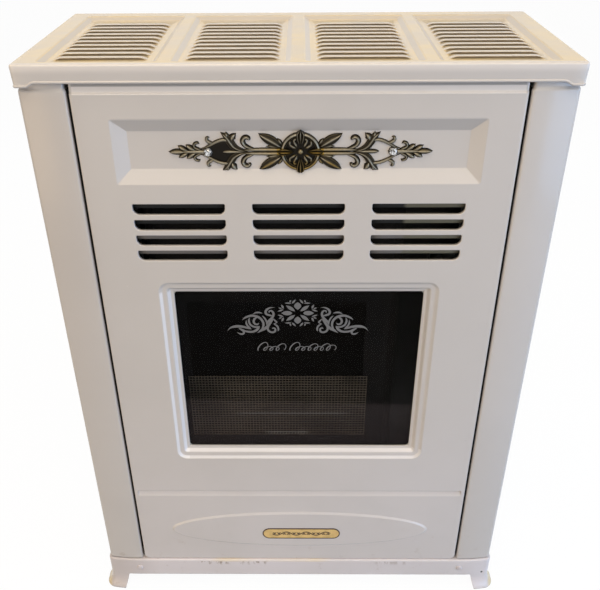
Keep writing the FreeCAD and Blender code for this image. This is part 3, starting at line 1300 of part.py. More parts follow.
def ignition_lead():
    """High-tension lead from the electrode to the igniter's rear end."""
    run = CHAMBER_FLOOR + LEAD_FLOOR + 2 * LEAD_STEP
    return pipe([at(ELECTRODE_X, PILOT_D, PROBE_BOTTOM), at(ELECTRODE_X, PILOT_D, run),
                 at(LEAD_RISER_X, PILOT_D, run),
                 at(LEAD_RISER_X, PILOT_D, BUTTON_Z), at(LEAD_RISER_X, BURNER_D, BUTTON_Z),
                 at(PIEZO_END, BURNER_D, BUTTON_Z)], IGNITION_LEAD_RADIUS, LEAD_BEND)


def pilot_pipe():
    """Small gas pipe from the valve to the pilot."""
    run = CHAMBER_FLOOR + LEAD_FLOOR + LEAD_STEP
    return pipe([at(PILOT_X, PILOT_D, PROBE_BOTTOM), at(PILOT_X, PILOT_D, run),
                 at(PILOT_RISER_X, PILOT_D, run),
                 at(PILOT_RISER_X, PILOT_D, VALVE_BOTTOM - UNION_HEIGHT)], PILOT_PIPE_RADIUS, LEAD_BEND)


def gas_valve():
    """Cast valve body with unions below, magnet unit above and the spindle bonnet to the right."""
    half = VALVE_WIDTH / 2
    body = block(VALVE_X - half, VALVE_X + half, BURNER_D - VALVE_DEPTH / 2, BURNER_D + VALVE_DEPTH / 2,
                 VALVE_BOTTOM, VALVE_BOTTOM + VALVE_HEIGHT)
    body = body.makeFillet(BEND, vertical_edges(body, VALVE_BOTTOM, VALVE_BOTTOM + VALVE_HEIGHT))
    shapes = [body]
    for x, depth, radius in ((VALVE_X, BURNER_D, UNION_RADIUS), (PILOT_RISER_X, PILOT_D, SMALL_UNION),
                             (THERMO_RISER_X, PILOT_D, SMALL_UNION)):
        shapes.append(rod(at(x, depth, VALVE_BOTTOM - UNION_HEIGHT), at(x, depth, VALVE_BOTTOM + BEND),
                          radius))
    top = VALVE_BOTTOM + VALVE_HEIGHT
    shapes.append(rod(at(VALVE_X, BURNER_D, top - BEND), at(VALVE_X, BURNER_D, top + MAGNET_HEIGHT),
                      MAGNET_RADIUS))
    axis = [at(VALVE_RIGHT - BEND, BURNER_D, VALVE_LEVEL),
            at(VALVE_RIGHT + BONNET_LENGTH, BURNER_D, VALVE_LEVEL)]
    shapes.append(rod(axis[0], axis[1], BONNET_RADIUS))
    bore = rod(at(VALVE_RIGHT + BONNET_LENGTH - SPINDLE_SEAT - PUSH_CLEAR, BURNER_D, VALVE_LEVEL),
               at(VALVE_RIGHT + 2 * BONNET_LENGTH, BURNER_D, VALVE_LEVEL), SPINDLE_RADIUS + RUNNING_FIT)
    return union(shapes).cut(bore)


def valve_bracket():
    """Bridge between the recess and the valve, with a hole for the bonnet."""
    half_d = TRAY_WIDTH / 2 - TRAY_CORNER
    low = VALVE_LEVEL - VALVE_HEIGHT / 2
    high = VALVE_LEVEL + VALVE_HEIGHT / 2
    back = TRAY_FLOOR - SHEET
    plate = block(VALVE_RIGHT, VALVE_RIGHT + CHAMBER_WALL, BURNER_D - half_d, BURNER_D + half_d, low, high)
    shapes = [plate]
    for side in (-1, 1):
        edge = BURNER_D + side * half_d
        inside = edge - side * CHAMBER_WALL
        shapes.append(block(VALVE_RIGHT, back, min(edge, inside), max(edge, inside), low, high))
    hole = rod(at(VALVE_X, BURNER_D, VALVE_LEVEL), at(back, BURNER_D, VALVE_LEVEL),
               BONNET_RADIUS + PROBE_FIT)
    return union(shapes).cut(hole)


def spindle_form(start_x, end_x, grow, flat_from):
    """Round shaft with a flat along its outer end."""
    shaft = rod(at(start_x, BURNER_D, VALVE_LEVEL), at(end_x, BURNER_D, VALVE_LEVEL), SPINDLE_RADIUS + grow)
    flat = block(flat_from, end_x, BURNER_D - 2 * SPINDLE_RADIUS, BURNER_D + 2 * SPINDLE_RADIUS,
                 VALVE_LEVEL + SPINDLE_RADIUS - SPINDLE_FLAT + grow, VALVE_LEVEL + 2 * SPINDLE_RADIUS)
    return shaft.cut(flat)


def valve_spindle():
    return spindle_form(VALVE_RIGHT + BONNET_LENGTH - SPINDLE_SEAT, SPINDLE_END, 0,
                        KNOB_BACK - KNOB_PUSH - PUSH_CLEAR)


def control_knob():
    """Round skirt with a grip bar across it and a flatted socket for the spindle."""
    skirt = rod(at(KNOB_BACK, BURNER_D, VALVE_LEVEL), at(KNOB_BACK + KNOB_SKIRT, BURNER_D, VALVE_LEVEL),
                KNOB_RADIUS)
    rim = [edge for edge in skirt.Edges if edge.BoundBox.XMin > KNOB_BACK + KNOB_SKIRT / 2]
    skirt = skirt.makeFillet(KNOB_SKIRT / 3, rim)
    bar = block(KNOB_BACK + KNOB_SKIRT / 2, KNOB_BACK + KNOB_LENGTH, BURNER_D - KNOB_GRIP / 2,
                BURNER_D + KNOB_GRIP / 2,
                VALVE_LEVEL - KNOB_RADIUS, VALVE_LEVEL + KNOB_RADIUS)
    round_off = rod(at(KNOB_BACK, BURNER_D, VALVE_LEVEL),
                    at(KNOB_BACK + KNOB_LENGTH, BURNER_D, VALVE_LEVEL),
                    KNOB_RADIUS - KNOB_SKIRT / 3)
    bar = bar.common(round_off)
    top = [edge for edge in bar.Edges if edge.BoundBox.XMin > KNOB_BACK + KNOB_LENGTH - SEAT_GAP]
    bar = bar.makeFillet(KNOB_GRIP / 5, top)
    socket = spindle_form(KNOB_BACK, KNOB_BACK + KNOB_SOCKET, RUNNING_FIT, KNOB_BACK)
    return skirt.fuse(bar).cut(socket).removeSplitter()


def piezo_igniter():
    """Igniter barrel behind the recess, with its nose through the recess floor and a bore for the plunger."""
    back = TRAY_FLOOR - SHEET
    barrel = rod(at(PIEZO_END, BURNER_D, BUTTON_Z), at(back, BURNER_D, BUTTON_Z), PIEZO_RADIUS)
    nose = rod(at(back - SHEET, BURNER_D, BUTTON_Z), at(NOSE_END, BURNER_D, BUTTON_Z), PIEZO_NOSE)
    bore = rod(at(BUTTON_BACK - BUTTON_STEM_LENGTH - BUTTON_TRAVEL - PUSH_CLEAR, BURNER_D, BUTTON_Z),
               at(NOSE_END + SHEET, BURNER_D, BUTTON_Z), BUTTON_STEM + RUNNING_FIT)
    return barrel.fuse(nose).cut(bore).removeSplitter()


def igniter_nut():
    """Hexagon nut on the igniter's nose, against the recess floor."""
    nut = hexagon(at(TRAY_FLOOR, BURNER_D, BUTTON_Z), NUT_RADIUS, Vector(NUT_THICK, 0, 0))
    return nut.cut(rod(at(TRAY_FLOOR, BURNER_D, BUTTON_Z), at(NOSE_END, BURNER_D, BUTTON_Z),
                       PIEZO_NOSE + PROBE_FIT))


def igniter_button():
    """Push button with the plunger that slides in the igniter."""
    cap = rod(at(BUTTON_BACK, BURNER_D, BUTTON_Z), at(BUTTON_BACK + BUTTON_LENGTH, BURNER_D, BUTTON_Z),
              BUTTON_RADIUS)
    rim = [edge for edge in cap.Edges if edge.BoundBox.XMin > BUTTON_BACK + BUTTON_LENGTH / 2]
    cap = cap.makeFillet(BUTTON_RADIUS / 4, rim)
    plunger = rod(at(BUTTON_BACK - BUTTON_STEM_LENGTH, BURNER_D, BUTTON_Z),
                  at(BUTTON_BACK + BUTTON_LENGTH / 2, BURNER_D, BUTTON_Z), BUTTON_STEM)
    return cap.fuse(plunger).removeSplitter()


def inlet_pipe():
    """From the nipple at the back, up and forward to the valve."""
    return pipe([at(VALVE_X, BURNER_D + VALVE_DEPTH / 2, VALVE_LEVEL), at(VALVE_X, INLET_D, VALVE_LEVEL),
                 at(VALVE_X, INLET_D, INLET_LEVEL), at(VALVE_X, REAR_FACE, INLET_LEVEL)],
                INLET_PIPE_RADIUS, INLET_PIPE_BEND)


def inlet_nipple():
    """Half-inch nipple with a hexagon that seats on the back sheet."""
    start = at(VALVE_X, REAR_FACE, INLET_LEVEL)
    grip = hexagon(start, NIPPLE_HEX, Vector(0, NIPPLE_HEX_LENGTH, 0))
    end = at(VALVE_X, REAR_FACE + NIPPLE_HEX_LENGTH + NIPPLE_LENGTH, INLET_LEVEL)
    body = rod(at(VALVE_X, REAR_FACE + NIPPLE_HEX_LENGTH / 2, INLET_LEVEL), end, NIPPLE_RADIUS)
    return grip.fuse(body).cut(rod(start, end, NIPPLE_BORE)).removeSplitter()


def build():
    """Every piece by its name."""
    right = right_side_panel()
    return {
        "top_cover": top_cover(),
        "left_side_panel": mirrored(right),
        "right_side_panel": right.cut(tray_window()),
        "front_panel": front_panel(),
        "base_plinth": base_plinth(),
        "bottom_pan": bottom_pan(),
        "rear_panel": rear_panel(),
        "rear_screws": rear_screws(),
        "foot_screws": foot_screws(),
        "left_panel_stile": mirrored(right_panel_stile()),
        "right_panel_stile": right_panel_stile(),
        "front_upper_rail": front_rail(BODY_TOP - RAIL_RISE - RAIL_HEIGHT),
        "front_lower_rail": front_rail(PAN_TOP + RAIL_RISE),
        "clip_studs": clip_studs(),
        "panel_clips": panel_clips(),
        "window_glass": window_glass(),
        "window_gasket": window_gasket(),
        "glass_clips": glass_clips(),
        "badge_plate": badge_plate(),
        "ornament": ornament(),
        "ornament_crystals": ornament_crystals(),
        "combustion_chamber": combustion_chamber(),
        "chamber_supports": chamber_supports(),
        "radiant_mesh": radiant_mesh(),
        "flue_hood": flue_hood(),
        "flue_spigot": flue_spigot(),
        "flue_collar": flue_collar(),
        "rear_heat_shield": rear_heat_shield(),
        "burner_tube": burner_tube(),
        "burner_brackets": burner_brackets(),
        "injector": injector(),
        "gas_pipe": gas_pipe(),
        "pilot_bracket": pilot_bracket(),
        "pilot_burner": pilot_burner(),
        "pilot_pipe": pilot_pipe(),
        "thermocouple": thermocouple(),
        "spark_electrode": spark_electrode(),
        "ignition_lead": ignition_lead(),
        "gas_valve": gas_valve(),
        "valve_bracket": valve_bracket(),
        "valve_spindle": valve_spindle(),
        "control_recess": control_recess(),
        "control_knob": control_knob(),
        "piezo_igniter": piezo_igniter(),
        "igniter_nut": igniter_nut(),
        "igniter_button": igniter_button(),
        "inlet_pipe": inlet_pipe(),
        "inlet_nipple": inlet_nipple(),
    }


os.makedirs("parts", exist_ok=True)
for name, shape in build().items():
    shape.exportStep(os.path.join("parts", name + ".step"))
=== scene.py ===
"""Dresses the floor-standing gas heater: enamelled sheet, cast ornament, printed pane, controls and studio."""

import json
import math
from functools import partial

import bmesh
import bpy
import numpy as np
from bpy.props import FloatProperty, FloatVectorProperty, IntProperty, PointerProperty
from mathutils import Matrix, Vector
from mathutils.geometry import delaunay_2d_cdt

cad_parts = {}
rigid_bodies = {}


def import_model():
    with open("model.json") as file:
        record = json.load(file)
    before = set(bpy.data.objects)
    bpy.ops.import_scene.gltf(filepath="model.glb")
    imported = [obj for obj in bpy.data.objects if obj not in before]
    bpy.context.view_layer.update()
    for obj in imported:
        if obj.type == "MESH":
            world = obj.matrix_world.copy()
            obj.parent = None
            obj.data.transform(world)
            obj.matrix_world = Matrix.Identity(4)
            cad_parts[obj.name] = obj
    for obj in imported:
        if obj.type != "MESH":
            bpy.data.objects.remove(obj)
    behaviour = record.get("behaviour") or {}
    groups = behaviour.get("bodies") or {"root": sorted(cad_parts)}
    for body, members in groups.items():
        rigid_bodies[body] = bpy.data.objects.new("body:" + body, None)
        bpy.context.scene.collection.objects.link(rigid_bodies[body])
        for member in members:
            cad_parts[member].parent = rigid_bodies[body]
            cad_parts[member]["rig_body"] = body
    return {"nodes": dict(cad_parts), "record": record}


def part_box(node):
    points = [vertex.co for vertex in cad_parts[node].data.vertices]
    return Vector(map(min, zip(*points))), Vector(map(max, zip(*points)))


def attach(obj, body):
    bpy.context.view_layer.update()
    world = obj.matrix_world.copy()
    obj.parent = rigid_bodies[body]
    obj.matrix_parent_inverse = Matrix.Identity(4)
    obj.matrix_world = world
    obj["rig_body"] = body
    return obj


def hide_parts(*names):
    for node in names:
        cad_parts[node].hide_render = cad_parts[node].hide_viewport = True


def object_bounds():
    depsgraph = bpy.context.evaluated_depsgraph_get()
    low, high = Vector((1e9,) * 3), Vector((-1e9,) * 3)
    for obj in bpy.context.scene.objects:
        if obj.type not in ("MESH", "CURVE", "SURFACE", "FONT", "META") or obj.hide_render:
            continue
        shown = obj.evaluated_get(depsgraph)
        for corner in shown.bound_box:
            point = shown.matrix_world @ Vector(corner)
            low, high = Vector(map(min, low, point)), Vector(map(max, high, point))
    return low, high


bl_info = {
    "name": "Gas heater",
    "version": (1, 0, 0),
    "blender": (4, 5, 0),
    "location": "View3D > Sidebar > Heater",
    "description": "Builds the looks of a floor-standing gas heater over its CAD frame",
    "category": "Object",
}

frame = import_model()
CAD_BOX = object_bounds()
SLOT_OF = {part["node"]: part["material_slot"] for part in frame["record"]["subparts"]}
MM = 0.001
TINY = 0.05 * MM
ALL_TRIANGLES = 0

PANEL_LOW, PANEL_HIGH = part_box("front_panel")
COVER_LOW, COVER_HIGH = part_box("top_cover")
SIDE_LOW, SIDE_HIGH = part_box("right_side_panel")
BASE_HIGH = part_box("base_plinth")[1]
GLASS_LOW, GLASS_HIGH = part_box("window_glass")
TRAY_LOW, TRAY_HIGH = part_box("control_recess")
KNOB_LOW, KNOB_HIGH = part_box("control_knob")
KNOB = (KNOB_LOW + KNOB_HIGH) / 2
MESH_LOW, MESH_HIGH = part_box("radiant_mesh")
REAR_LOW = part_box("rear_panel")[0]
ORNAMENT_LOW, ORNAMENT_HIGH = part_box("ornament")
FRONT = SIDE_LOW.y
HEART = (CAD_BOX[0] + CAD_BOX[1]) / 2


def length(text, millimetres):
    """A length property whose default is written in millimetres."""
    return FloatProperty(description=text, default=millimetres * MM, subtype="DISTANCE", precision=4)


def span(text, start, end):
    """A property of two places, a start and an end, whose defaults are written in millimetres."""
    return FloatVectorProperty(description=text, default=(start * MM, end * MM), size=2, precision=4)


def tilt(text, degrees):
    """An angle property whose default is written in degrees."""
    return FloatProperty(description=text, default=math.radians(degrees), subtype="ANGLE")


def count(text, amount):
    """A property for how many equal forms there are."""
    return IntProperty(description=text, default=amount, min=1)


def number(text, value):
    """A property without a unit."""
    return FloatProperty(description=text, default=value, precision=4)


def colour(text, *levels):
    """A colour property whose default is written as three screen levels from 0 to 255."""
    linear = [((level / 255 + 0.055) / 1.055) ** 2.4 for level in levels]
    return FloatVectorProperty(description=text, default=linear, subtype="COLOR", min=0, max=1)


class PanelSizes(bpy.types.PropertyGroup):
    """Pressed forms of the front panel."""

    margin: length("Flat strip kept round each pressed form", 1.5)
    press_round: length("Tangent length of the pressed bends", 1.7)
    bend: length("Tangent length of the folded edges", 3)
    edge: length("How far the sheet's edges turn back", 14)
    corner: length("Lower corner radius of the panel", 8)
    corner_upper: length("Upper corner radius of the panel", 1.5)
    band: length("Height of the top band behind its shoulder", 12.3)
    shoulder: length("How far the shoulder sets the top band back", 1.8)
    step: length("Height over which the shoulder sets back", 2.6)
    lean: length("How far the top band leans back above its shoulder", 0.4)
    recess_margin: length("From the panel's edge to the recess", 36)
    recess_height: length("Ornament recess, edge to edge", 70.6)
    recess_drop: length("From the panel's top to the recess", 37)
    recess_depth: length("Depth of the ornament recess", 8)
    recess_slope: length("Width of the recess's sloping sides", 15)
    recess_corner: length("Corner radius of the recess's rim", 3)
    slot_length: length("Length of a vent slot", 99.5)
    slot_height: length("Height of a vent slot", 12.4)
    slot_group: length("From one group of slots to the next", 129)
    slot_row: length("From one row of slots to the next", 18.65)
    slot_drop: length("From the recess to the first slot", 22.4)
    slot_lower: length("Lower corner radius of a slot", 7)
    slot_upper: length("Upper corner radius of a slot", 1.5)
    slot_collar: length("How far a slot's edge is drawn in", 4)
    slot_round: length("Tangent length of a slot's rounded edge", 2.2)
    blade_run: length("How far a slot's blade runs back from the collar", 2.5)
    blade_drop: length("How far a slot's blade hangs down", 7)
    surround: length("Width of the stepped window surround", 16)
    surround_depth: length("Depth of the surround at the pane", 8)
    surround_step: length("Depth of the surround's first step", 3)
    surround_slope: length("Width of each sloping step", 3.6)
    surround_shelf: length("Flat shelf between the steps", 5.2)
    surround_corner: length("Outer corner radius of the surround", 12.5)
    glass_lap: length("How far the pane reaches behind the sheet", 8)
    groove_end: length("From the panel's edge to the groove", 5.4)
    groove_rise: length("From the panel's foot to the groove's middle", 134)
    groove_width: length("Width of the pressed groove", 10)
    groove_depth: length("Depth of the pressed groove", 3.6)
    groove_slope: length("How far the groove's rings shrink on their way down", 4.2)
    groove_lift: length("How far the groove's floor lies above its middle", 3)
    oval_margin: length("From the panel's edge to the oval", 46)
    oval_height: length("Height of the raised oval", 69.4)
    oval_rise: length("From the panel's foot to the oval", 28.6)
    oval_proud: length("How far the oval stands out", 2)
    oval_slope: length("Width of the oval's sloping edge", 3.2)
    sheet: length("Thickness of the enamelled sheet", 1)
    slot_groups: count("Groups of slots side by side", 3)
    slot_rows: count("Slots above each other", 4)


class CoverSizes(bpy.types.PropertyGroup):
    """Pressed forms of the lid."""

    corner: length("Corner radius of the lid", 4)
    bend: length("Tangent length of the lid's rolled rim", 3.6)
    press_round: length("Tangent length of the pressed bends", 2.4)
    margin: length("Flat strip kept round each sunk field", 1.2)
    lip_front: length("Depth of the lip between the ears", 18.5)
    bead: length("How far the rolled lower edge stands out", 0.9)
    roll: length("Height of the rolled lower edge", 2.8)
    lip_side: length("Height of the lip at the ears and sides", 22.5)
    ear: length("Length of the deep corner ears", 12)
    ear_blend: length("Length of the curve from ear to lip", 10)
    field_front: length("From the lid's front edge to the sunk fields", 12)
    field_back: length("From the sunk fields to the lid's back edge", 20)
    field_side: length("From the lid's side edge to the first field", 22)
    ridge: length("Width of the ridge between two fields", 12)
    field_depth: length("Depth of a sunk field", 4)
    field_slope: length("Width of a field's sloping sides", 7)
    field_corner: length("Corner radius of a field's rim", 5)
    louvre_front: length("From the field's floor edge to the first mouth", 14.5)
    louvre_back: length("From the last hood to the field's floor edge", 27)
    louvre_margin: length("From the field's floor edge to a louvre's end", 5.5)
    louvre_run: length("Front to back length of a hood", 9)
    louvre_rise: length("Height of a hood's mouth", 2.7)
    louvre_nose: length("Radius of a hood's rolled front edge", 0.5)
    louvre_end: length("Length over which a hood falls to its end", 9)
    # The strips behind the louvres' mouths carry painted shade.
    gauze_back: length("From a mouth back to the foot of its gauze", 0.6)
    gauze_lean: length("How far the gauze leans back", 1.6)
    fields: count("Sunk fields side by side", 4)
    louvres: count("Louvres in each field", 10)


class BodySizes(bpy.types.PropertyGroup):
    """Folded side panels and plinth."""

    bow_flat: length("Flat strip beside the front panel", 9.5)
    bow_radius: length("Radius of the bowed pilaster", 220)
    corner: length("Radius of the cabinet's upright corners", 5)
    rear: length("Depth of the cabinet behind the front", 245)
    fold: length("Return of a side panel into the front gap", 20)
    flange: length("Inward flange at a side panel's top and foot", 12)
    neck: length("How far a side panel's neck reaches up behind the lid's lip, and its shoulder below", 5.5)
    ledge: length("How far the plinth stands out", 2.5)
    rim: length("Inward rim on top of the plinth", 36)
    base_round: length("Tangent length of the plinth's top edge", 3)
    apron: length("Height of the apron's lower edge", 24)
    flare_top: length("Height where the feet start to flare", 20)
    flare: length("How far the toes flare out", 8.1)
    toe: length("Height of the upright strip at a foot's toe", 1.7)
    foot_top: length("Width of a foot at the apron", 27)
    foot_toe: length("Width of a foot at the floor", 22)
    base_sheet: length("Thickness of the plinth's sheet", 1.2)
    knee: length("Length of the curve from the apron to a foot", 3)
    neck_round: length("Tangent length of the bends at a side panel's neck", 1.5)
    tray_strip: length("Flat strip kept round the control recess", 6)
    tray_lap: length("How far the side panel reaches over the control recess", 8)
    tray_corner: length("Corner radius of the control recess", 10)
    tray_edge: length("How far the edge round the control recess turns in", 2)
    tray_round: length("Tangent length of that edge's bend", 1.2)


class OrnamentSizes(bpy.types.PropertyGroup):
    """Cast applique in the recess and its clear studs."""

    relief: length("Height of the widest leaves above the recess floor", 4.8)
    shift: length("From the heater's middle to the rosette, to the right", 2.2)
    drop: length("From the middle of the CAD ornament down to the rosette", 1.5)
    rosette: length("Radius of the rosette's ring", 18.3)
    stud_place: length("From the rosette to a stud", 96.2)
    stud: length("Radius of a stud", 4.7)
    stud_foot: length("From the recess floor to a stud's girdle", 3)
    stud_rise: length("Height of a stud above its girdle", 2.6)


class WindowSizes(bpy.types.PropertyGroup):
    """Print on the pane and wire screen behind it."""

    wire: length("Thickness of a wire of the screen", 0.9)
    wire_pitch: length("From wire to wire", 4.1)
    screen_drop: length("How far the screen hangs below its CAD sheet", 6.8)
    print_lift: length("How far the print lies in front of the pane", 0.05)
    print_layer: length("Step between two strokes of the print", 0.004)
    print_drop: length("From the opening's top to the middle of the print", 31.2)
    print_shift: length("From the heater's middle to the print, to the right", -1.3)


class DialSizes(bpy.types.PropertyGroup):
    """Marks round the control knob."""

    tray_sheet: length("Thickness of the control recess's floor", 1)
    dial_radius: length("From the knob's axis to the marks", 23.5)
    tick_short: length("Length of the first mark", 2)
    tick_long: length("Length of the last mark", 6)
    tick_width: length("Width of a mark", 1.2)
    dial_start: tilt("From level to the first mark", 15)
    dial_ticks: count("Number of marks", 8)


class BadgeSizes(bpy.types.PropertyGroup):
    """Badge on the oval."""

    width: length("Length of the badge", 110.5)
    height: length("Height of the badge", 20.6)
    rim: length("Width of the raised rim", 1.5)
    rim_rise: length("How far the rim stands above the field", 0.25)
    thick: length("Thickness of the badge at its field", 0.55)
    shift: length("From the heater's middle to the badge, to the right", 2.8)
    rise: length("From the panel's foot to the badge's middle", 56.4)
    line: length("Half width of the printed vine", 0.9)
    vine_reach: length("From the badge's middle to the vine's end", 42)
    vine_wave: length("How far the vine swings up and down", 3.2)


class Finishes(bpy.types.PropertyGroup):
    """Colours of the finishes."""

    enamel: colour("Warm white vitreous enamel", 222, 215, 210)
    # Painted light: a lighter enamel laid low on the front and over the plinth, standing in for light there.
    fresh: colour("Enamel low down, where it stays cool", 243, 235, 237)
    # This yellow also carries painted warm light on the plinth's toes.
    aged: colour("Enamel yellowed by heat and age", 254, 229, 170)
    grime: colour("Dust and rust in the enamel's corners", 138, 104, 66)
    dust: colour("Brown dust on the gauze of the louvres", 160, 146, 122)
    # Painted shade: the brown of the shaded inside seen through the louvres' mouths.
    patina: colour("Dark patina of the cast brass", 20, 15, 7)
    bronze: colour("Half rubbed bronze of the cast brass", 66, 57, 38)
    silver: colour("Rubbed high places of the cast brass", 132, 125, 110)
    gold: colour("Worn gold of the cast brass", 126, 101, 42)
    print_ink: colour("Ink on the pane", 126, 125, 126)
    foil: colour("Gold foil of the badge", 232, 196, 128)
    foil_edge: colour("Dark rim and vine of the badge", 62, 40, 24)


class WearPlaces(bpy.types.PropertyGroup):
    """Where the finishes change: each span runs from where a change starts to where it is complete."""

    # Painted light: heights over which the lighter enamel low on the front ends.
    fresh: span("Heights over which the front's fresh enamel ends", 60, 420)
    dust: span("Heights over which the dust at the foot ends", 20, 160)
    dull_left: span("Places across over which the left side's dullness ends", -250, -200)
    dull_foot: span("Heights over which the left side turns dull", 250, 600)
    dull_neck: span("Heights from a side panel's top over which the dullness ends", -12.5, -2.5)
    heat: span("Heights from the lid's top over which it turns yellow", -9, -6)
    hood_foot: span("Heights from the lid's top over which the louvres start", -3.9, -3.5)
    hood_crown: span("Heights from the lid's top over which the louvres end", -1.2, -0.4)
    # Painted highlight: the next span places the lightened front rim of the lid.
    rim: span("Heights from the lid's top over which its wiped front rim starts", -10.5, -2)
    rust_foot: span("Heights from the plinth's top over which its rust starts", -12, -5)
    rust_top: span("Heights from the plinth's top over which its rust ends", -3.5, -2)
    line: span("Heights from the plinth's top over which its yellow line starts", -4.5, -2)
    line_end: span("From the line's middle to its ends", 60, 100)
    line_middle: length("Middle of the plinth's yellow line, to the right", -45)
    # Painted warm light on the toes: the next two spans place it.
    toe: span("From the toes' ends to where their yellow stain starts", -10, -4)
    toe_top: span("Heights over which the toes' stain ends", 30, 42)
    hole_place: length("From the heater's middle to the open screw hole", 270.9)
    hole_rise: length("Height of the open screw hole", 28)
    hole: span("From the screw hole's middle to its edge and to the end of its dark rim", 1.22, 2.12)
    # Painted light on the slots' blades: the next two spans place the lit grey rows and the lit olive side.
    ash: span("Heights over which the blades' ash ends", 584, 594)
    olive: span("Places across over which the blades turn olive", 112, 118)
    # Painted reflection on the pane: the next two spans place its grey lower part.
    film: span("Heights from the pane's foot over which its grey film ends", 78.5, 80.5)
    film_tilt: number("How far the film's edge falls to the right, as a share of the way", 0.03)
    heat_front: span("From the lid's front edge to where its yellow starts", 3, 6)
    # Painted highlight: where the lightened front rim of the lid ends.
    rim_back: span("From the lid's front edge to where its wiped rim ends", 5, 8)
    palm_start: span("From the rosette's middle out to where its side leaves' gold starts", 4, 6)
    palm_end: span("From the rosette's middle out to where that gold ends", 23.5, 26)
    palm_level: span("From the rosette's middle up or down to where that gold ends", 3.5, 5)
    lower_level: span("Heights from the rosette's middle over which the lower half's gold ends", -12, -4)
    lower_end: span("From the rosette's middle out to where the lower half's gold ends", 40, 50)
    rod_end: span("From the rosette's middle out to where the rods' gold ends", 30, 60)
    rod_level: span("From the rosette's middle up or down to where the rods' gold ends", 4, 6)
    tip: span("From the rosette's middle out to where the tips' gold starts", 105, 130)
    pointer_side: span("From the knob's axis aside to where its pointer line ends", 0.7, 1)
    pointer_start: span("From the knob's axis up to where its pointer line starts", 4, 4.4)
    pointer_face: span("Depths from the knob's face over which its pointer line starts", -1.2, -0.8)


class StageSizes(bpy.types.PropertyGroup):
    """Camera and studio."""

    lens: number("Focal length in millimetres", 44.81)
    shift_x: number("Lens shift to the right", 0.0123)
    shift_y: number("Lens shift upwards", 0.025)
    place: FloatVectorProperty(description="Camera's place", default=(0.0023, -0.8792, 0.9506), precision=4)
    pitch: tilt("Tilt up from straight down", 57.883)
    yaw: tilt("Turn to the left", 0.733)
    roll: tilt("Roll about the view", -0.438)
    floor: length("Half width of the floor", 6000)
    floor_glow: number("Brightness of the floor to the eye", 1.19)
    floor_share: number("How much of the floor's own tone the glow covers", 0.8)
    world_light: number("Brightness of the world as light", 0.22)


class Surface:
    """Grids and flat fills of one piece, gathered as arrays; each point carries a relief mark from 0 to 1."""

    def __init__(self):
        self.points = []
        self.faces = []
        self.marks = []
        self.total = 0

    def add(self, points, faces, mark=0.0):
        """Adds points and the faces between them, which number these points from nought."""
        points = np.asarray(points, float).reshape(-1, 3)
        self.points.append(points)
        self.faces.extend((np.asarray(faces, int) + self.total).tolist())
        self.marks.append(np.zeros(len(points)) + np.ravel(mark))
        self.total += len(points)

    def grid(self, points, closed=False, keep=None, mark=0.0):
        """Quads between neighbouring points of an array of rows and columns; closed rows run back to their start."""
        rows, columns = points.shape[:2]
        index = np.arange(rows * columns).reshape(rows, columns)
        index = np.hstack([index, index[:, :1]]) if closed else index
        quads = np.stack([index[:-1, :-1], index[:-1, 1:], index[1:, 1:], index[1:, :-1]], -1)
        self.add(points, quads.reshape(-1, 4) if keep is None else quads[keep], mark)

    def fill(self, loops, axes):
        """Flat triangles inside the first loop and outside the others, worked out on two of the axes: a
        triangle whose corners all lie on one of the other loops, which bulge outwards, is in a hole."""
        points = np.concatenate(loops)
        owner = np.repeat(np.arange(len(loops)), [len(loop) for loop in loops])
        order = np.arange(len(points))
        starts = np.searchsorted(owner, owner)
        following = np.where(np.append(owner[1:], -1) == owner, order + 1, starts)
        flat = [Vector(point) for point in points[:, axes].tolist()]
        made = delaunay_2d_cdt(flat, np.stack([order, following], 1).tolist(), [], ALL_TRIANGLES, TINY * MM)
        source = np.array([found[0] for found in made[3]])
        corners = source[np.array(made[2])]
        rim = owner[corners]
        hole = (rim[:, 0] > 0) & (rim[:, 0] == rim[:, 1]) & (rim[:, 1] == rim[:, 2])
        self.add(points, corners[~hole])

    def piece(self, name, body, slot, finish, stands_for=(), thick=0.0, outward=False, crease=48):
        """Makes the object: doubles merged, smooth, turned to face outwards when asked, riding on its body."""
        mesh = bpy.data.meshes.new(name)
        mesh.from_pydata(np.concatenate(self.points), [], self.faces)
        relief = mesh.attributes.new("relief", "FLOAT", "POINT")
        relief.data.foreach_set("value", np.concatenate(self.marks))
        merge(mesh, outward)
        return finished(mesh, name, body, finish, stands_for, thick, crease)


def merge(mesh, outward=False):
    """Merges double points and, on a folded sheet, turns its faces away from the middle of its own box."""
    work = bmesh.new()
    work.from_mesh(mesh)
    bmesh.ops.remove_doubles(work, verts=work.verts, dist=TINY * 0.1)
    if outward:
        corners = np.array([corner.co for corner in work.verts])
        middle = Vector((corners.min(0) + corners.max(0)) / 2)
        bmesh.ops.recalc_face_normals(work, faces=work.faces)
        away = sum(face.calc_area() * face.normal.dot(face.calc_center_median() - middle) for face in work.faces)
        if away < 0:
            bmesh.ops.reverse_faces(work, faces=work.faces)
    work.to_mesh(mesh)
    work.free()


def finished(mesh, name, body, finish, stands_for=(), thick=0.0, crease=48):
    """Object for a mesh, smooth below the crease angle, with its finish, its body and the CAD nodes it
    stands for."""
    mesh.shade_smooth()
    mesh.set_sharp_from_angle(angle=math.radians(crease))
    mesh.materials.clear()
    mesh.materials.append(finish)
    made = bpy.data.objects.new(name, mesh)
    bpy.context.scene.collection.objects.link(made)
    if thick:
        wall = made.modifiers.new("Sheet", "SOLIDIFY")
        wall.thickness = thick
        wall.offset = -1
    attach(made, body)
    if stands_for:
        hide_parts(*stands_for)
    return made


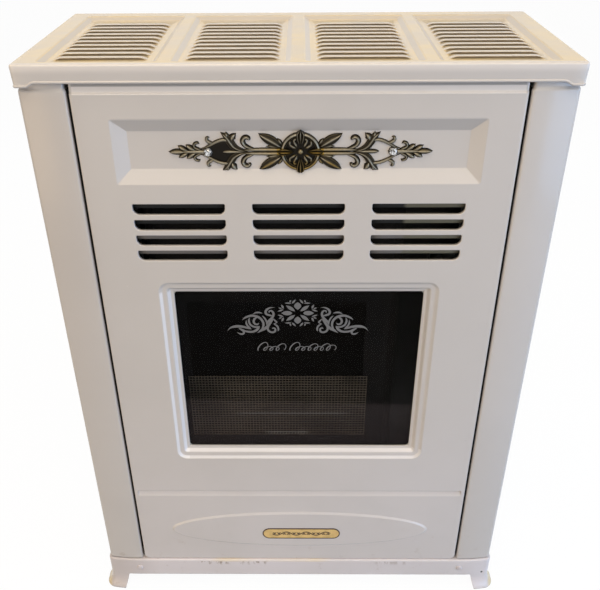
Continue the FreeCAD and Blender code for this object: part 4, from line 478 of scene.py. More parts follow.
def soften(corners, reach, steps=5):
    """Polyline with rounded corners: each inner corner becomes the quadratic curve that starts and ends one tangent
    length before and after it, or nearly half way along a side that is too short."""
    corners = np.asarray(corners, float)
    share = np.linspace(0, 1, steps + 1)[:, None]
    path = [corners[:1]]
    for before, here, after in zip(corners, corners[1:], corners[2:]):
        back = before - here
        ahead = after - here
        spans = np.linalg.norm(back), np.linalg.norm(ahead)
        tangent = min(reach, 0.48 * spans[0], 0.48 * spans[1])
        start = here + back / spans[0] * tangent
        end = here + ahead / spans[1] * tangent
        path.append((1 - share) ** 2 * start + 2 * share * (1 - share) * here + share ** 2 * end)
    path.append(corners[-1:])
    return np.concatenate(path)


def rounded_ring(half_u, half_v, corner, offset, upper=None, right=(), left=(), lowest=()):
    """Rounded rectangle grown by an offset, counter-clockwise from its lower right corner; the upper corners may
    have a radius of their own, and stops on the right, left and lowest edges add points there."""
    turn = np.linspace(0, math.pi / 2, 9)
    parts = []
    stops = [np.stack([np.full(len(right), half_u + offset), right], 1), np.zeros((0, 2)),
             np.stack([np.full(len(left), -half_u - offset), left], 1),
             np.stack([lowest, np.full(len(lowest), -half_v - offset)], 1)]
    for quadrant, (side, level) in enumerate(((1, -1), (1, 1), (-1, 1), (-1, -1))):
        radius = max((corner if upper is None or level < 0 else upper) + offset, TINY)
        angle = turn + (quadrant - 1) * math.pi / 2
        parts.append(np.stack([side * (half_u + offset - radius) + radius * np.cos(angle),
                               level * (half_v + offset - radius) + radius * np.sin(angle)], 1))
        parts.append(stops[quadrant])
    return np.concatenate(parts)


def oval_ring(half_u, half_v, offset):
    """Ellipse whose half axes grow by an offset, counter-clockwise."""
    angle = np.linspace(0, 2 * math.pi, 120, endpoint=False)
    return np.stack([(half_u + offset) * np.cos(angle), (half_v + offset) * np.sin(angle)], 1)


def at_height(plan, z):
    """A plan's points at one height, or each at its own."""
    return np.column_stack([plan, np.zeros(len(plan)) + z])


def smooth_step(value, low, high):
    """0 below low, 1 above high, and the cubic 3t² - 2t³ between."""
    share = np.clip((value - low) / (high - low), 0, 1)
    return share * share * (3 - 2 * share)


def soft_ramp(value, radius):
    """0 below zero and the value itself above, joined by a parabola over the radius on both sides."""
    return np.where(value > radius, value, np.clip(value + radius, 0, None) ** 2 / (4 * radius))


def opening(panel):
    """Half width, half height and middle height of the window opening."""
    half_u = (GLASS_HIGH.x - GLASS_LOW.x) / 2 - panel.glass_lap
    half_v = (GLASS_HIGH.z - GLASS_LOW.z) / 2 - panel.glass_lap
    return half_u, half_v, (GLASS_HIGH.z + GLASS_LOW.z) / 2


class PressedPanel:
    """Front panel as rings carried through the profile of each pressed form, with flat fills between them."""

    def __init__(self, size):
        self.size = size
        self.half = (PANEL_HIGH.x - PANEL_LOW.x) / 2
        self.surface = Surface()
        self.holes = []

    def place(self, ring, depth, x, z):
        """Ring on the sheet: x across, z up and the depth behind the front; the top band is set back by a
        shoulder and leans back with the height above it."""
        size = self.size
        above = z + ring[:, 1] - PANEL_HIGH.z + size.band
        back = size.shoulder * smooth_step(above, 0, size.step) + size.lean / size.band * soft_ramp(above, MM)
        return np.stack([x + ring[:, 0], FRONT + depth + back, z + ring[:, 1]], 1)

    def press(self, ring, profile, x, z, reach, floor=True):
        """Carries a ring through a profile of offsets, depths and rises, and closes the innermost ring if it has a
        floor."""
        path = soften(profile, reach)
        rows = np.stack([self.place(ring(offset), depth, x, z + rise) for offset, depth, rise in path])
        self.surface.grid(rows, closed=True)
        self.holes.append(rows[0])
        if floor:
            self.surface.fill([rows[-1]], (0, 2))

    def recess(self):
        """Sunk field for the ornament, with sloping sides; returns the height of its lower edge."""
        size = self.size
        half_u = self.half - size.recess_margin
        half_v = size.recess_height / 2
        z = PANEL_HIGH.z - size.recess_drop - half_v
        profile = [(size.margin, 0, 0), (0, 0, 0), (-size.recess_slope, size.recess_depth, 0),
                   (-size.recess_slope - size.margin, size.recess_depth, 0)]
        self.press(partial(rounded_ring, half_u, half_v, size.recess_corner), profile, 0, z, size.press_round)
        return z - half_v

    def slots(self, top):
        """Slots with drawn-in edges; returns the blades behind them, which hang from the upper edges and fall with
        the power 0.7 of their run back."""
        size = self.size
        half_u = size.slot_length / 2
        half_v = size.slot_height / 2
        ring = partial(rounded_ring, half_u, half_v, size.slot_lower, upper=size.slot_upper)
        profile = [(size.slot_round, 0, 0), (0, 0, 0), (0, size.slot_collar, 0)]
        run = np.linspace(0, 1, 5)[:, None]
        blades = Surface()
        for group in range(size.slot_groups):
            x = (group - (size.slot_groups - 1) / 2) * size.slot_group
            across = x + half_u * np.linspace(1, -1, 9)
            for row in range(size.slot_rows):
                z = top - half_v - row * size.slot_row
                self.press(ring, profile, x, z, size.slot_round, floor=False)
                back = FRONT + size.slot_collar + size.blade_run * run
                fall = z + half_v - size.blade_drop * run ** 0.7
                blades.grid(np.stack(np.broadcast_arrays(across, back, fall), -1))
        return blades

    def window(self):
        """Stepped surround of the pane: two slopes with a flat shelf between them, open in the middle."""
        size = self.size
        half_u, half_v, z = opening(size)
        shelf = size.surround_slope + size.surround_shelf
        profile = [(size.margin, 0, 0), (0, 0, 0), (-size.surround_slope, size.surround_step, 0),
                   (-shelf, size.surround_step, 0), (-shelf - size.surround_slope, size.surround_depth, 0),
                   (-size.surround, size.surround_depth, 0)]
        ring = partial(rounded_ring, half_u + size.surround, half_v + size.surround, size.surround_corner)
        self.press(ring, profile, 0, z, size.press_round, floor=False)

    def groove(self):
        """Groove with a steep upper side and a long lower one: its rings rise as they go deeper, and their length
        shrinks by a fifth of what their height does."""
        size = self.size
        half_u = self.half - size.groove_end
        half_v = size.groove_width / 2
        profile = [(size.margin, 0, 0), (0, 0, 0), (-size.groove_slope, size.groove_depth, size.groove_lift),
                   (TINY - half_v, size.groove_depth, size.groove_lift)]
        self.press(lambda grow: rounded_ring(half_u - 0.8 * grow, half_v, half_v / 3, grow), profile, 0,
                   PANEL_LOW.z + size.groove_rise, size.press_round)

    def oval(self):
        """Raised oval with a sloping edge."""
        size = self.size
        half_v = size.oval_height / 2
        profile = [(size.margin, 0, 0), (0, 0, 0), (-size.oval_slope, -size.oval_proud, 0),
                   (-size.oval_slope - size.margin, -size.oval_proud, 0)]
        self.press(partial(oval_ring, self.half - size.oval_margin, half_v), profile, 0,
                   PANEL_LOW.z + size.oval_rise + half_v, size.press_round)

    def edges(self):
        """Turned edges all round, and the flat field inside them: below the crease with every form's hole, across
        the crease in rows, and above it."""
        size = self.size
        half_v = (PANEL_HIGH.z - PANEL_LOW.z) / 2
        z = (PANEL_HIGH.z + PANEL_LOW.z) / 2
        crease = half_v - size.band + np.linspace(-1, 5, 19) * MM
        ring = partial(rounded_ring, self.half, half_v, size.corner, upper=size.corner_upper, right=crease,
                       left=crease[::-1])
        path = soften([(-size.bend - size.margin, 0), (0, 0), (0, size.edge)], size.bend, 7)
        rows = np.stack([self.place(ring(offset), depth, 0, z) for offset, depth in path])
        self.surface.grid(rows, closed=True)
        inner = rows[0]
        level = inner[:, 2] - z
        self.surface.fill([inner[level < crease[0] + TINY]] + self.holes, (0, 2))
        self.surface.fill([inner[level > crease[-1] - TINY]], (0, 2))
        across = inner[(level > crease[0] - TINY) & (level < crease[-1] + TINY)].reshape(2, -1, 3)
        self.surface.grid(np.stack([across[0], across[1][::-1]], 1))


def hood_ends(size, left):
    """Share of a hood's height at a distance from its end: a quarter sine over the end's length."""
    return np.sin(np.clip(left / size.louvre_end, 0, 1) * math.pi / 2)


def hood(size, x, mouth, z, half):
    """Louvre hood: its height stays level from the mouth, then falls by a smooth step to the back, and falls to
    both ends as a quarter sine; the first rows roll the front edge in round the nose's radius."""
    across = np.sin(np.linspace(-1, 1, 41) * math.pi / 2) * half
    along = np.concatenate([np.zeros(5), np.linspace(0, 1, 11)[1:]])[:, None]
    roll = np.concatenate([np.linspace(math.pi, math.pi / 2, 5), np.full(10, math.pi / 2)])[:, None]
    ends = hood_ends(size, half - np.abs(across))
    height = size.louvre_rise * (1 - smooth_step(along, 0.68, 1)) * ends
    height = height - size.louvre_nose * (1 - np.sin(roll)) * ends
    back = along * size.louvre_run + size.louvre_nose * (1 + np.cos(roll)) * (along == 0)
    return np.stack([x + across + 0 * height, mouth + back + 0 * across, z + height], -1)


def mouth_shade_strip(size, sheet, x, mouth, z, half):
    """Strip of painted shade behind a hood's mouth: it leans back as it rises, and its height follows the hood's
    ends.
    """
    across = np.linspace(-1, 1, 41) * (half - 1.5 * MM)
    up = np.linspace(0, 1, 4)[:, None]
    tall = (size.louvre_rise - sheet) * hood_ends(size, half - np.abs(across))
    return np.stack([x + across + 0 * up, mouth + size.gauze_back + size.gauze_lean * up + 0 * across,
                     z - sheet + (tall + sheet / 2) * up], -1)


def cover_sheet(size, sheet):
    """Lid: a rounded rectangle carried over its rolled rim and down a lip whose depth follows an S-curve at the
    front ears, with sunk fields and louvre hoods set into the flat top; returns it and the strips of painted shade
    behind the mouths."""
    surface = Surface()
    shade_strips = Surface()
    half_u = (COVER_HIGH.x - COVER_LOW.x) / 2
    half_v = (COVER_HIGH.y - COVER_LOW.y) / 2
    y = (COVER_HIGH.y + COVER_LOW.y) / 2
    top = COVER_HIGH.z
    ear = half_u - size.ear
    stops = np.linspace(ear - size.ear_blend, ear, 13)
    stops = np.concatenate([-stops[::-1], stops])

    def ring(offset):
        return rounded_ring(half_u, half_v, size.corner, offset, lowest=stops) + (0, y)

    brow = soften([(-size.bend - size.margin, 0), (0, 0), (0, size.bend * 2)], size.bend, 8)[:-1]
    rows = [at_height(ring(offset), top - drop) for offset, drop in brow]
    edge = ring(0)
    deep = smooth_step(np.abs(edge[:, 0]), ear - size.ear_blend, ear)
    lip = np.where(edge[:, 1] < COVER_LOW.y + TINY, size.lip_front + (size.lip_side - size.lip_front) * deep,
                   size.lip_side)
    for part in (0.3, 0.7, 1):
        rows.append(at_height(ring(-part * size.bead), top - size.bend - part * (lip - size.bend - size.roll)))
    for turn in np.linspace(0, math.pi, 11)[1:]:
        inset = size.bead * (1 - math.sin(turn))
        rows.append(at_height(ring(-inset), top - lip + size.roll * (1 - turn / math.pi)))
    surface.grid(np.stack(rows), closed=True)

    field_u = (2 * (half_u - size.field_side) - (size.fields - 1) * size.ridge) / size.fields / 2
    field_v = half_v - (size.field_front + size.field_back) / 2
    field_y = y + (size.field_front - size.field_back) / 2
    floor = top - size.field_depth
    profile = soften([(size.margin, 0), (0, 0), (-size.field_slope, size.field_depth),
                      (-size.field_slope - size.margin, size.field_depth)], size.press_round)
    first = field_y - field_v + size.field_slope + size.louvre_front
    last = field_y + field_v - size.field_slope - size.louvre_back - size.louvre_run
    half = field_u - size.field_slope - size.louvre_margin
    holes = []
    for index in range(size.fields):
        x = (index - (size.fields - 1) / 2) * (2 * field_u + size.ridge)
        rim = partial(rounded_ring, field_u, field_v, size.field_corner)
        sunk = np.stack([at_height(rim(offset) + (x, field_y), top - drop) for offset, drop in profile])
        surface.grid(sunk, closed=True)
        holes.append(sunk[0])
        mouths = []
        for mouth in np.linspace(first, last, size.louvres):
            shape = hood(size, x, mouth, floor, half)
            surface.grid(shape)
            shade_strips.grid(mouth_shade_strip(size, sheet, x, mouth, floor, half))
            plan = shape[4:] * (1, 1, 0) + (0, 0, floor)
            mouths.append(np.concatenate([plan[:, 0], plan[-1, 1:-1], plan[::-1, -1]]))
        surface.fill([sunk[-1]] + mouths, (0, 1))
    surface.fill([rows[0]] + holes, (0, 1))
    return surface, shade_strips


def half_plan(size, offset, stops=()):
    """Right-hand plan of the cabinet grown by an offset, front to back: the bow's arc, the front corner's arc
    tangent to it and to the side, stops along the side, and the rear corner's arc."""
    half = SIDE_HIGH.x
    inner = SIDE_LOW.x + size.bow_flat
    bow = size.bow_radius + offset
    turn = max(size.corner + offset, TINY)
    corner = half + offset - turn
    swing = math.asin((corner - inner) / (bow - turn))
    start = size.bow_radius - (bow - turn) * math.cos(swing)
    end = size.rear + offset - turn
    sweep = np.linspace(0, swing, 49)
    front = np.linspace(swing, math.pi / 2, 10)[1:]
    rear = np.linspace(math.pi / 2, math.pi, 10)
    return np.concatenate([
        np.stack([inner + bow * np.sin(sweep), size.bow_radius - bow * np.cos(sweep)], 1),
        np.stack([corner + turn * np.sin(front), start - turn * np.cos(front)], 1),
        np.stack([np.full(len(stops), half + offset), stops], 1),
        np.stack([corner + turn * np.sin(rear), end - turn * np.cos(rear)], 1)])


def side_sheet(size, panel, window):
    """Side panel: the plan with its folded front return, carried up a profile that rolls in at the foot and at
    the top; the right-hand one has a window for the control recess."""
    surface = Surface()
    low, high = SIDE_LOW.z, SIDE_HIGH.z
    tray_y = np.array([TRAY_LOW.y, TRAY_HIGH.y])
    tray_z = np.array([TRAY_LOW.z, TRAY_HIGH.z])
    strip = np.array([-size.tray_strip, size.tray_strip])
    stops = tray_y + strip
    levels = tray_z + strip
    profile = np.concatenate([
        soften([(-size.flange, low), (0, low), (0, levels[0])], panel.bend),
        soften([(0, levels[1]), (0, high - size.neck), (-panel.shoulder, high - size.neck / 2),
                (-panel.shoulder - panel.lean / 2, high + size.neck), (-size.flange, high + size.neck)],
               size.neck_round)])

    def row(offset, z):
        fold = soften([(SIDE_LOW.x - offset, size.fold), (SIDE_LOW.x - offset, -offset),
                       (SIDE_LOW.x + size.bow_flat, -offset)], panel.bend)[:-1]
        return at_height(np.concatenate([fold, half_plan(size, offset, stops - FRONT)]) + (0, FRONT), z)

    rows = np.stack([row(offset, z) for offset, z in profile])
    start = rows[:-1, :-1]
    wall = (start[..., 0] > SIDE_HIGH.x - TINY) & (np.abs(start[..., 2] - levels[0]) < TINY)
    wall &= (start[..., 1] > stops[0] - TINY) & (start[..., 1] < stops[1] - TINY)
    surface.grid(rows, keep=~wall)
    loops = [np.array([(SIDE_HIGH.x, stops[along], levels[up]) for along, up in ((0, 0), (1, 0), (1, 1), (0, 1))])]
    if window:
        ring = partial(rounded_ring, np.ptp(tray_y) / 2 - size.tray_lap, np.ptp(tray_z) / 2 - size.tray_lap,
                       size.tray_corner)
        lip = soften([(panel.margin, 0), (0, 0), (0, size.tray_edge)], size.tray_round)
        rings = np.stack([np.insert(ring(offset) + (tray_y.mean(), tray_z.mean()), 0, SIDE_HIGH.x - depth, axis=1)
                          for offset, depth in lip])
        surface.grid(rings, closed=True)
        loops.append(rings[0])
    surface.fill(loops, (1, 2))
    if not window:
        surface.points = [points * (-1, 1, 1) for points in surface.points]
    return surface


def base_sheet(size):
    """Plinth: the whole plan carried from its rim over the rounded top edge and down to a lower edge that is the
    apron's between the feet and the floor under them; the feet flare with the square of the depth below the
    flare's top and stand upright over the toe."""
    surface = Surface()
    top = BASE_HIGH.z
    outer = SIDE_HIGH.x + size.ledge
    foot = size.foot_top - size.ledge
    toe = size.foot_toe - size.ledge
    tail = size.rear - foot
    stops = np.concatenate([np.linspace(toe, foot + size.knee, 8),
                            np.linspace(tail - size.knee, size.rear - toe, 8)])

    def ring(offset):
        right = half_plan(size, offset, stops)
        back = np.linspace(right[-1], (SIDE_LOW.x + size.bow_flat, right[-1, 1]), 25)[1:]
        right = np.concatenate([right, back])
        return np.concatenate([right, (right * (-1, 1))[::-1]])

    def lower(plan):
        """Height of the lower edge: the apron's in an opening, falling steeply to the floor along a foot."""
        across = outer - size.foot_top - np.abs(plan[:, 0])
        along = np.minimum(plan[:, 1] - foot, tail - plan[:, 1])
        slope = size.foot_top - size.foot_toe
        inward = np.where(np.abs(plan[:, 0]) > outer - size.ledge - TINY, along, across)
        places = [-slope, 0, 0.7 / 3 * size.knee, 1.6 / 3 * size.knee, size.knee]
        return np.interp(inward, places, size.apron * np.array([0.006, 0.86, 0.95, 0.99, 1]))

    brow = soften([(-size.rim, top), (size.ledge, top), (size.ledge, top - 2 * size.base_round)],
                  size.base_round)[:-1]
    rows = [at_height(ring(offset), z) for offset, z in brow]
    low = lower(ring(0))
    start = top - size.base_round
    normal = (ring(MM) - ring(0)) / MM
    for part in np.append(np.linspace(0.08, 0.97, 14), 1):
        z = start + (low - start) * part
        flare = size.flare * np.clip(1 - (z - size.toe) / (size.flare_top - size.toe), 0, 1) ** 2
        rows.append(at_height(ring(size.ledge) + normal * flare[:, None], z))
    surface.grid(np.stack(rows) + (0, FRONT, 0), closed=True)
    return surface


def rosette_height(size):
    """Height of the rosette's middle."""
    return (ORNAMENT_LOW.z + ORNAMENT_HIGH.z) / 2 - size.drop


class Applique:
    """Cast ornament: strokes, beads and a ring laid on the recess floor, in millimetres from the rosette."""

    def __init__(self, size, panel):
        self.size = size
        self.surface = Surface()
        self.floor = FRONT + panel.recess_depth
        self.z = rosette_height(size)

    def lay(self, u, v, height, mark, mirrored=True, flipped=True):
        """Adds a relief to the recess floor, and its mirror images across and upright."""
        for side in ((-1, 1) if mirrored else (-1,)):
            for level in ((1, -1) if flipped else (1,)):
                points = np.stack([self.size.shift + side * u * MM, self.floor - height,
                                   self.z + level * v * MM], -1)
                order = 1 if side * level > 0 else -1
                self.surface.grid(points[::order], mark=(mark + 0 * height)[::order])

    def stroke(self, knots, ridges=0, lift=1.0, power=2, worn=1.0, **mirror):
        """Stroke along a smooth curve: across it a bow, the root of one less a power of the distance, with cosine
        ridges; it stands higher with the hyperbolic tangent of its half width."""
        place, left, half = stroke_path(knots, 9)
        across = np.linspace(-1, 1, 13 + 4 * ridges)
        bow = np.sqrt(1 - np.abs(across) ** power)
        ridge = np.cos(math.pi * ridges * across)
        tall = self.size.relief * lift * np.tanh(0.42 * half)
        height = tall * bow * (0.82 + 0.18 * ridge)
        mark = worn * bow * (0.6 + 0.4 * ridge) * np.clip(tall / self.size.relief / lift + 0.25, 0, 1)
        aside = half * across
        self.lay(place[:, :1] - left[:, :1] * aside, place[:, 1:] - left[:, 1:] * aside, height, mark, **mirror)

    def bead(self, place, radius, lift=1.2, worn=1.0, **mirror):
        """Half ball: its height is the root of what is left of the squared radius."""
        turn = np.linspace(0, 2 * math.pi, 19)
        reach = np.sin(np.linspace(1, 0, 8) * math.pi / 2)[:, None]
        rise = np.sqrt(1 - reach ** 2)
        self.lay(place[0] + radius * reach * np.cos(turn), place[1] + radius * reach * np.sin(turn),
                 radius * lift * MM * rise + 0 * turn, worn * rise, **mirror)

    def ring(self, radius, half):
        """Half round ring about the middle, with a groove along its crown."""
        turn = np.linspace(0, 2 * math.pi, 121)[:, None]
        across = np.linspace(-1, 1, 17)
        bow = np.sqrt(1 - across ** 2)
        crown = 1 - 0.4 * np.exp(-((across + 0.4) / 0.2) ** 2)
        reach = radius + half * across
        self.lay(reach * np.cos(turn), reach * np.sin(turn), half * 1.5 * MM * bow * crown + 0 * turn,
                 bow * (2 * crown - 1), mirrored=False, flipped=False)


def through(knots, steps):
    """Smooth curve through knots: between two of them a cubic whose slopes are half the span of the
    neighbours."""
    ends = np.concatenate([2 * knots[:1] - knots[1:2], knots, 2 * knots[-1:] - knots[-2:-1]])
    share = np.linspace(0, 1, steps, endpoint=False)[None, :, None]
    a, b, c, d = (ends[first:len(ends) - 3 + first, None] for first in range(4))
    path = 0.5 * (2 * b + (c - a) * share + (2 * a - 5 * b + 4 * c - d) * share ** 2
                  + (3 * b - a - 3 * c + d) * share ** 3)
    return np.concatenate([path.reshape(-1, knots.shape[1]), knots[-1:]])


def stroke_path(knots, steps):
    """Smooth curve through knots of place and half width, in millimetres: its places, the unit vectors to its left
    and its half widths."""
    path = through(np.array(knots, float), steps)
    way = np.gradient(path[:, :2], axis=0)
    way /= np.hypot(way[:, 0], way[:, 1])[:, None]
    return path[:, :2], np.stack([-way[:, 1], way[:, 0]], 1), np.clip(path[:, 2:], 0, None)


# Strokes of the applique: ridges, lift, and knots of place and half width in millimetres from the rosette's middle.
STROKES = (
    (2, 1.0, [(20, 5, 1.2), (26, 9, 4.6), (32, 12.6, 5.4), (38, 16, 3.8), (43.4, 19.5, 0)]),
    (1, 0.8, [(18.5, 7, 0.8), (21.5, 11, 2.1), (24, 14.4, 0)]),
    (0, 0.5, [(20, 4, 0.8), (29, 5.6, 2), (36.5, 5.2, 0)]),
    (0, 0.8, [(15, 2.1, 1.6), (24, 2.1, 2.1), (40, 2.1, 2.1), (54, 1.9, 1.6), (64, 1.2, 0)]),
    (1, 0.9, [(46, 3, 0), (52, 4, 1.9), (57.4, 6.6, 2.6), (59.8, 11, 2.9), (58.2, 14.6, 2.8), (55.2, 15.4, 2.6),
              (53.2, 13.4, 2), (54.4, 12, 0)]),
    (2, 1.0, [(56, 0.6, 1), (64, 2.6, 2.6), (69.4, 6, 3.8), (72.8, 10.6, 4.2), (76.4, 16, 3.7), (82.4, 21, 0)]),
    (1, 0.9, [(72, 11, 0.8), (70, 15.8, 3.8), (66, 20, 0)]),
    (1, 0.8, [(74, 14, 0.8), (76, 18, 2.4), (76.5, 21.5, 0)]),
    (0, 0.8, [(70, 9.5, 0), (75, 12, 1.8), (80, 12.6, 2), (86, 11, 2), (92, 8, 1.8), (98, 4.6, 1.3), (105, 3, 0)]),
    (0, 0.9, [(87, 9.5, 0), (93, 9.8, 1.8), (96.6, 12.2, 1.9), (96, 15.2, 1.6), (93.4, 15.4, 0)]),
    (1, 0.8, [(100, 0.8, 0), (105.6, 2.6, 1.8), (110, 5.2, 1.9), (109.6, 8.4, 1.8), (106.6, 9.6, 1.7),
              (104.4, 8, 0)]),
    (1, 0.8, [(107, 0.6, 0), (113, 3.4, 3), (116.5, 5.8, 2.6), (119, 7.8, 0)]),
    (1, 0.8, [(115, 0.6, 0), (121, 3, 2.9), (124.5, 5, 2.4), (127.4, 6.8, 0)]),
)
AXIAL_STROKES = (
    (1, 0.7, [(54, 0, 0), (62, 0, 1.9), (73, 0, 2.7), (79, 0, 1.9), (82, 0, 0)]),
    (0, 0.8, [(90, 0, 0), (98, 0, 2.2), (104, 0, 2.3), (114, 0, 2), (124, 0, 1.4), (128, 0, 0)]),
    (1, 0.8, [(118, 0, 0), (125, 0, 3.2), (132, 0, 3), (137.6, 0, 0)]),
    (3, 1.4, [(6, 0, 0), (10.5, 0, 2.6), (16, 0, 4.4), (20.5, 0, 3.8), (24.5, 0, 0)]),
)
ROSETTE_LEAF = [(0, 6, 0), (0, 10.5, 2.8), (0, 16, 5), (0, 20, 4.6), (0, 23.6, 0)]
ROSETTE_CURLS = ([(3, 3, 0), (7, 4.6, 1.7), (10.8, 7.2, 1.6), (10.8, 10.4, 1.5), (7.8, 10.2, 0)],
                 [(3, 3, 0), (4.6, 7, 1.7), (6.8, 11.6, 1.6), (4.8, 13.4, 1.5), (3.2, 11.4, 0)])
LEFT_WEB = [(56, 0, 0), (63, 0, 3), (69, 0, 8), (75, 0, 11.6), (80, 0, 12.2), (86, 0, 10.6), (92, 0, 7.6),
            (98, 0, 4.2), (102, 0, 0)]


def build_ornament(size, panel):
    """Rosette, leaves, scrolls and hooks of the applique, from the middle outwards, and the beads on them."""
    cast = Applique(size, panel)
    cast.bead((0, 0), size.rosette / MM - 0.5, 0.05, 0, mirrored=False, flipped=False)
    cast.ring(size.rosette / MM, 2.6)
    cast.stroke(ROSETTE_LEAF, 3, 1.4, 4, mirrored=False)
    for curl in ROSETTE_CURLS:
        cast.stroke(curl)
    for ridges, lift, knots in STROKES:
        cast.stroke(knots, ridges, lift)
    for ridges, lift, knots in AXIAL_STROKES:
        cast.stroke(knots, ridges, lift, flipped=False)
    cast.stroke(LEFT_WEB, 0, 0.28, 8, 0.03, mirrored=False, flipped=False)
    cast.bead((0, 0), 3.5, 1.1, mirrored=False, flipped=False)
    cast.bead((size.stud_place / MM, 0), 5.2, 0.5, flipped=False)
    return cast.surface


def studs(size, panel):
    """Faceted studs: an octagon carried up from its foot over the girdle to the table, each row turned by half a
    side against the one below."""
    surface = Surface()
    floor = FRONT + panel.recess_depth
    z = rosette_height(size)
    rows = ((1.0, 0.0, 0), (1.0, size.stud_foot, 0), (0.82, size.stud_foot + 0.5 * size.stud_rise, 0.5),
            (0.55, size.stud_foot + size.stud_rise, 0))
    turn = np.arange(8) * math.pi / 4
    for x in (size.shift - size.stud_place, size.shift + size.stud_place):
        points = np.stack([np.stack([x + size.stud * width * np.cos(turn + half * math.pi / 4),
                                     np.full(8, floor - rise),
                                     z + size.stud * width * np.sin(turn + half * math.pi / 4)], 1)
                           for width, rise, half in rows])
        surface.grid(points, closed=True)
        surface.add(points[-1], [list(range(8))])
    return surface


def badge(size, panel):
    """Badge: a pill carried from the oval up its edge, over the rim and down to its field; the rim is marked."""
    surface = Surface()
    half_u, half_v = size.width / 2, size.height / 2
    z = PANEL_LOW.z + size.rise
    face = FRONT - panel.oval_proud
    high = size.thick + size.rim_rise
    profile = [(0, 0, 1), (0, high - 0.2 * MM, 1), (-0.2 * MM, high, 1), (-size.rim, high, 1),
               (-size.rim - 0.1 * MM, size.thick, 1), (-size.rim - 0.15 * MM, size.thick, 0)]
    rows = []
    for offset, rise, mark in profile:
        ring = rounded_ring(half_u, half_v, half_v, offset) + (size.shift, z)
        rows.append(np.insert(ring, 1, face - rise, axis=1))
    marks = np.repeat([mark for offset, rise, mark in profile], len(rows[0]))
    surface.grid(np.stack(rows), closed=True, mark=marks)
    surface.fill([rows[-1]], (0, 2))
    return surface


def badge_print(size, panel):
    """Vine on the badge: a wave of three turns with a leaf to each side in every bend."""
    surface = Surface()
    y = FRONT - panel.oval_proud - size.thick - TINY
    z = PANEL_LOW.z + size.rise
    reach = size.vine_reach / MM
    along = np.linspace(-1, 1, 49)
    swing = size.vine_wave / MM * np.sin(3 * math.pi * along)
    wave = np.stack([reach * along, swing, np.full(49, size.line / MM)], 1)
    wave[[0, -1], 2] = 0
    ribbon(surface, wave, y, size.shift, z, 3)
    for bend in np.arange(-5, 6, 2) / 6:
        level = -np.sin(3 * math.pi * bend)
        place = reach * bend
        for way in (-1, 1):
            leaf = [(place, 2.6 * level, 0), (place + 3 * way, 0.5 * level, 1.3), (place + 6 * way, 2.8 * level, 0)]
            ribbon(surface, leaf, y - TINY * (2 + way) / 2, size.shift, z, 6)
    return facing_front(surface)


def ribbon(surface, knots, y, x, z, steps=12):
    """Flat printed stroke along a smooth curve through knots, in millimetres from x and z."""
    place, left, half = stroke_path(knots, steps)
    edges = np.stack([place + left * half, place - left * half], 1) * MM
    surface.grid(np.stack([x + edges[..., 0], np.full(edges.shape[:2], y), z + edges[..., 1]], -1))


def facing_front(surface):
    """Turns every face of a flat print to the front, by the sign of its area across and up."""
    corners = np.concatenate(surface.points)[np.array(surface.faces)]
    first = corners[:, 1] + corners[:, 2] - 2 * corners[:, 0]
    second = corners[:, 2] + corners[:, 3] - 2 * corners[:, 0]
    away = first[:, 2] * second[:, 0] - first[:, 0] * second[:, 2]
    surface.faces = np.where(away[:, None] > 0, np.array(surface.faces)[:, ::-1], surface.faces).tolist()
    return surface


# Strokes of the print on the pane: knots of place and half width in millimetres from the print's middle.
ROSETTE_PRINT = (
    [(0, 4.6, 0), (0, 7, 2.7), (0, 10, 4.2), (0, 13, 2.8), (0, 15.2, 0)],
    [(6.4, 0, 0), (9, 0, 2.4), (13, 0, 3.1), (16.6, 0, 2), (19.4, 0, 0)],
    [(3, 2.4, 0), (6.5, 5.2, 2), (10, 8, 2), (13.8, 10.8, 0)],
    [(6.4, 13.6, 0.5), (4.6, 16, 1.2), (2.4, 18.7, 0.3)],
    [(14.9, 13.9, 0.3), (11.4, 13.9, 1), (7.7, 13.6, 0.4)],
    [(9.2, 14.8, 0.4), (8.6, 16.6, 1), (8, 18, 0.2)],
    [(17, 6.4, 0.5), (17.8, 9, 1.3), (19.2, 11.9, 0.2)],
    [(22.4, 7.6, 0.3), (20.6, 6.8, 0.9), (18.8, 5.8, 0.3)],
    [(23.4, 2.4, 0.2), (20.4, 3.6, 1.1), (17, 4.9, 0.4)],
)
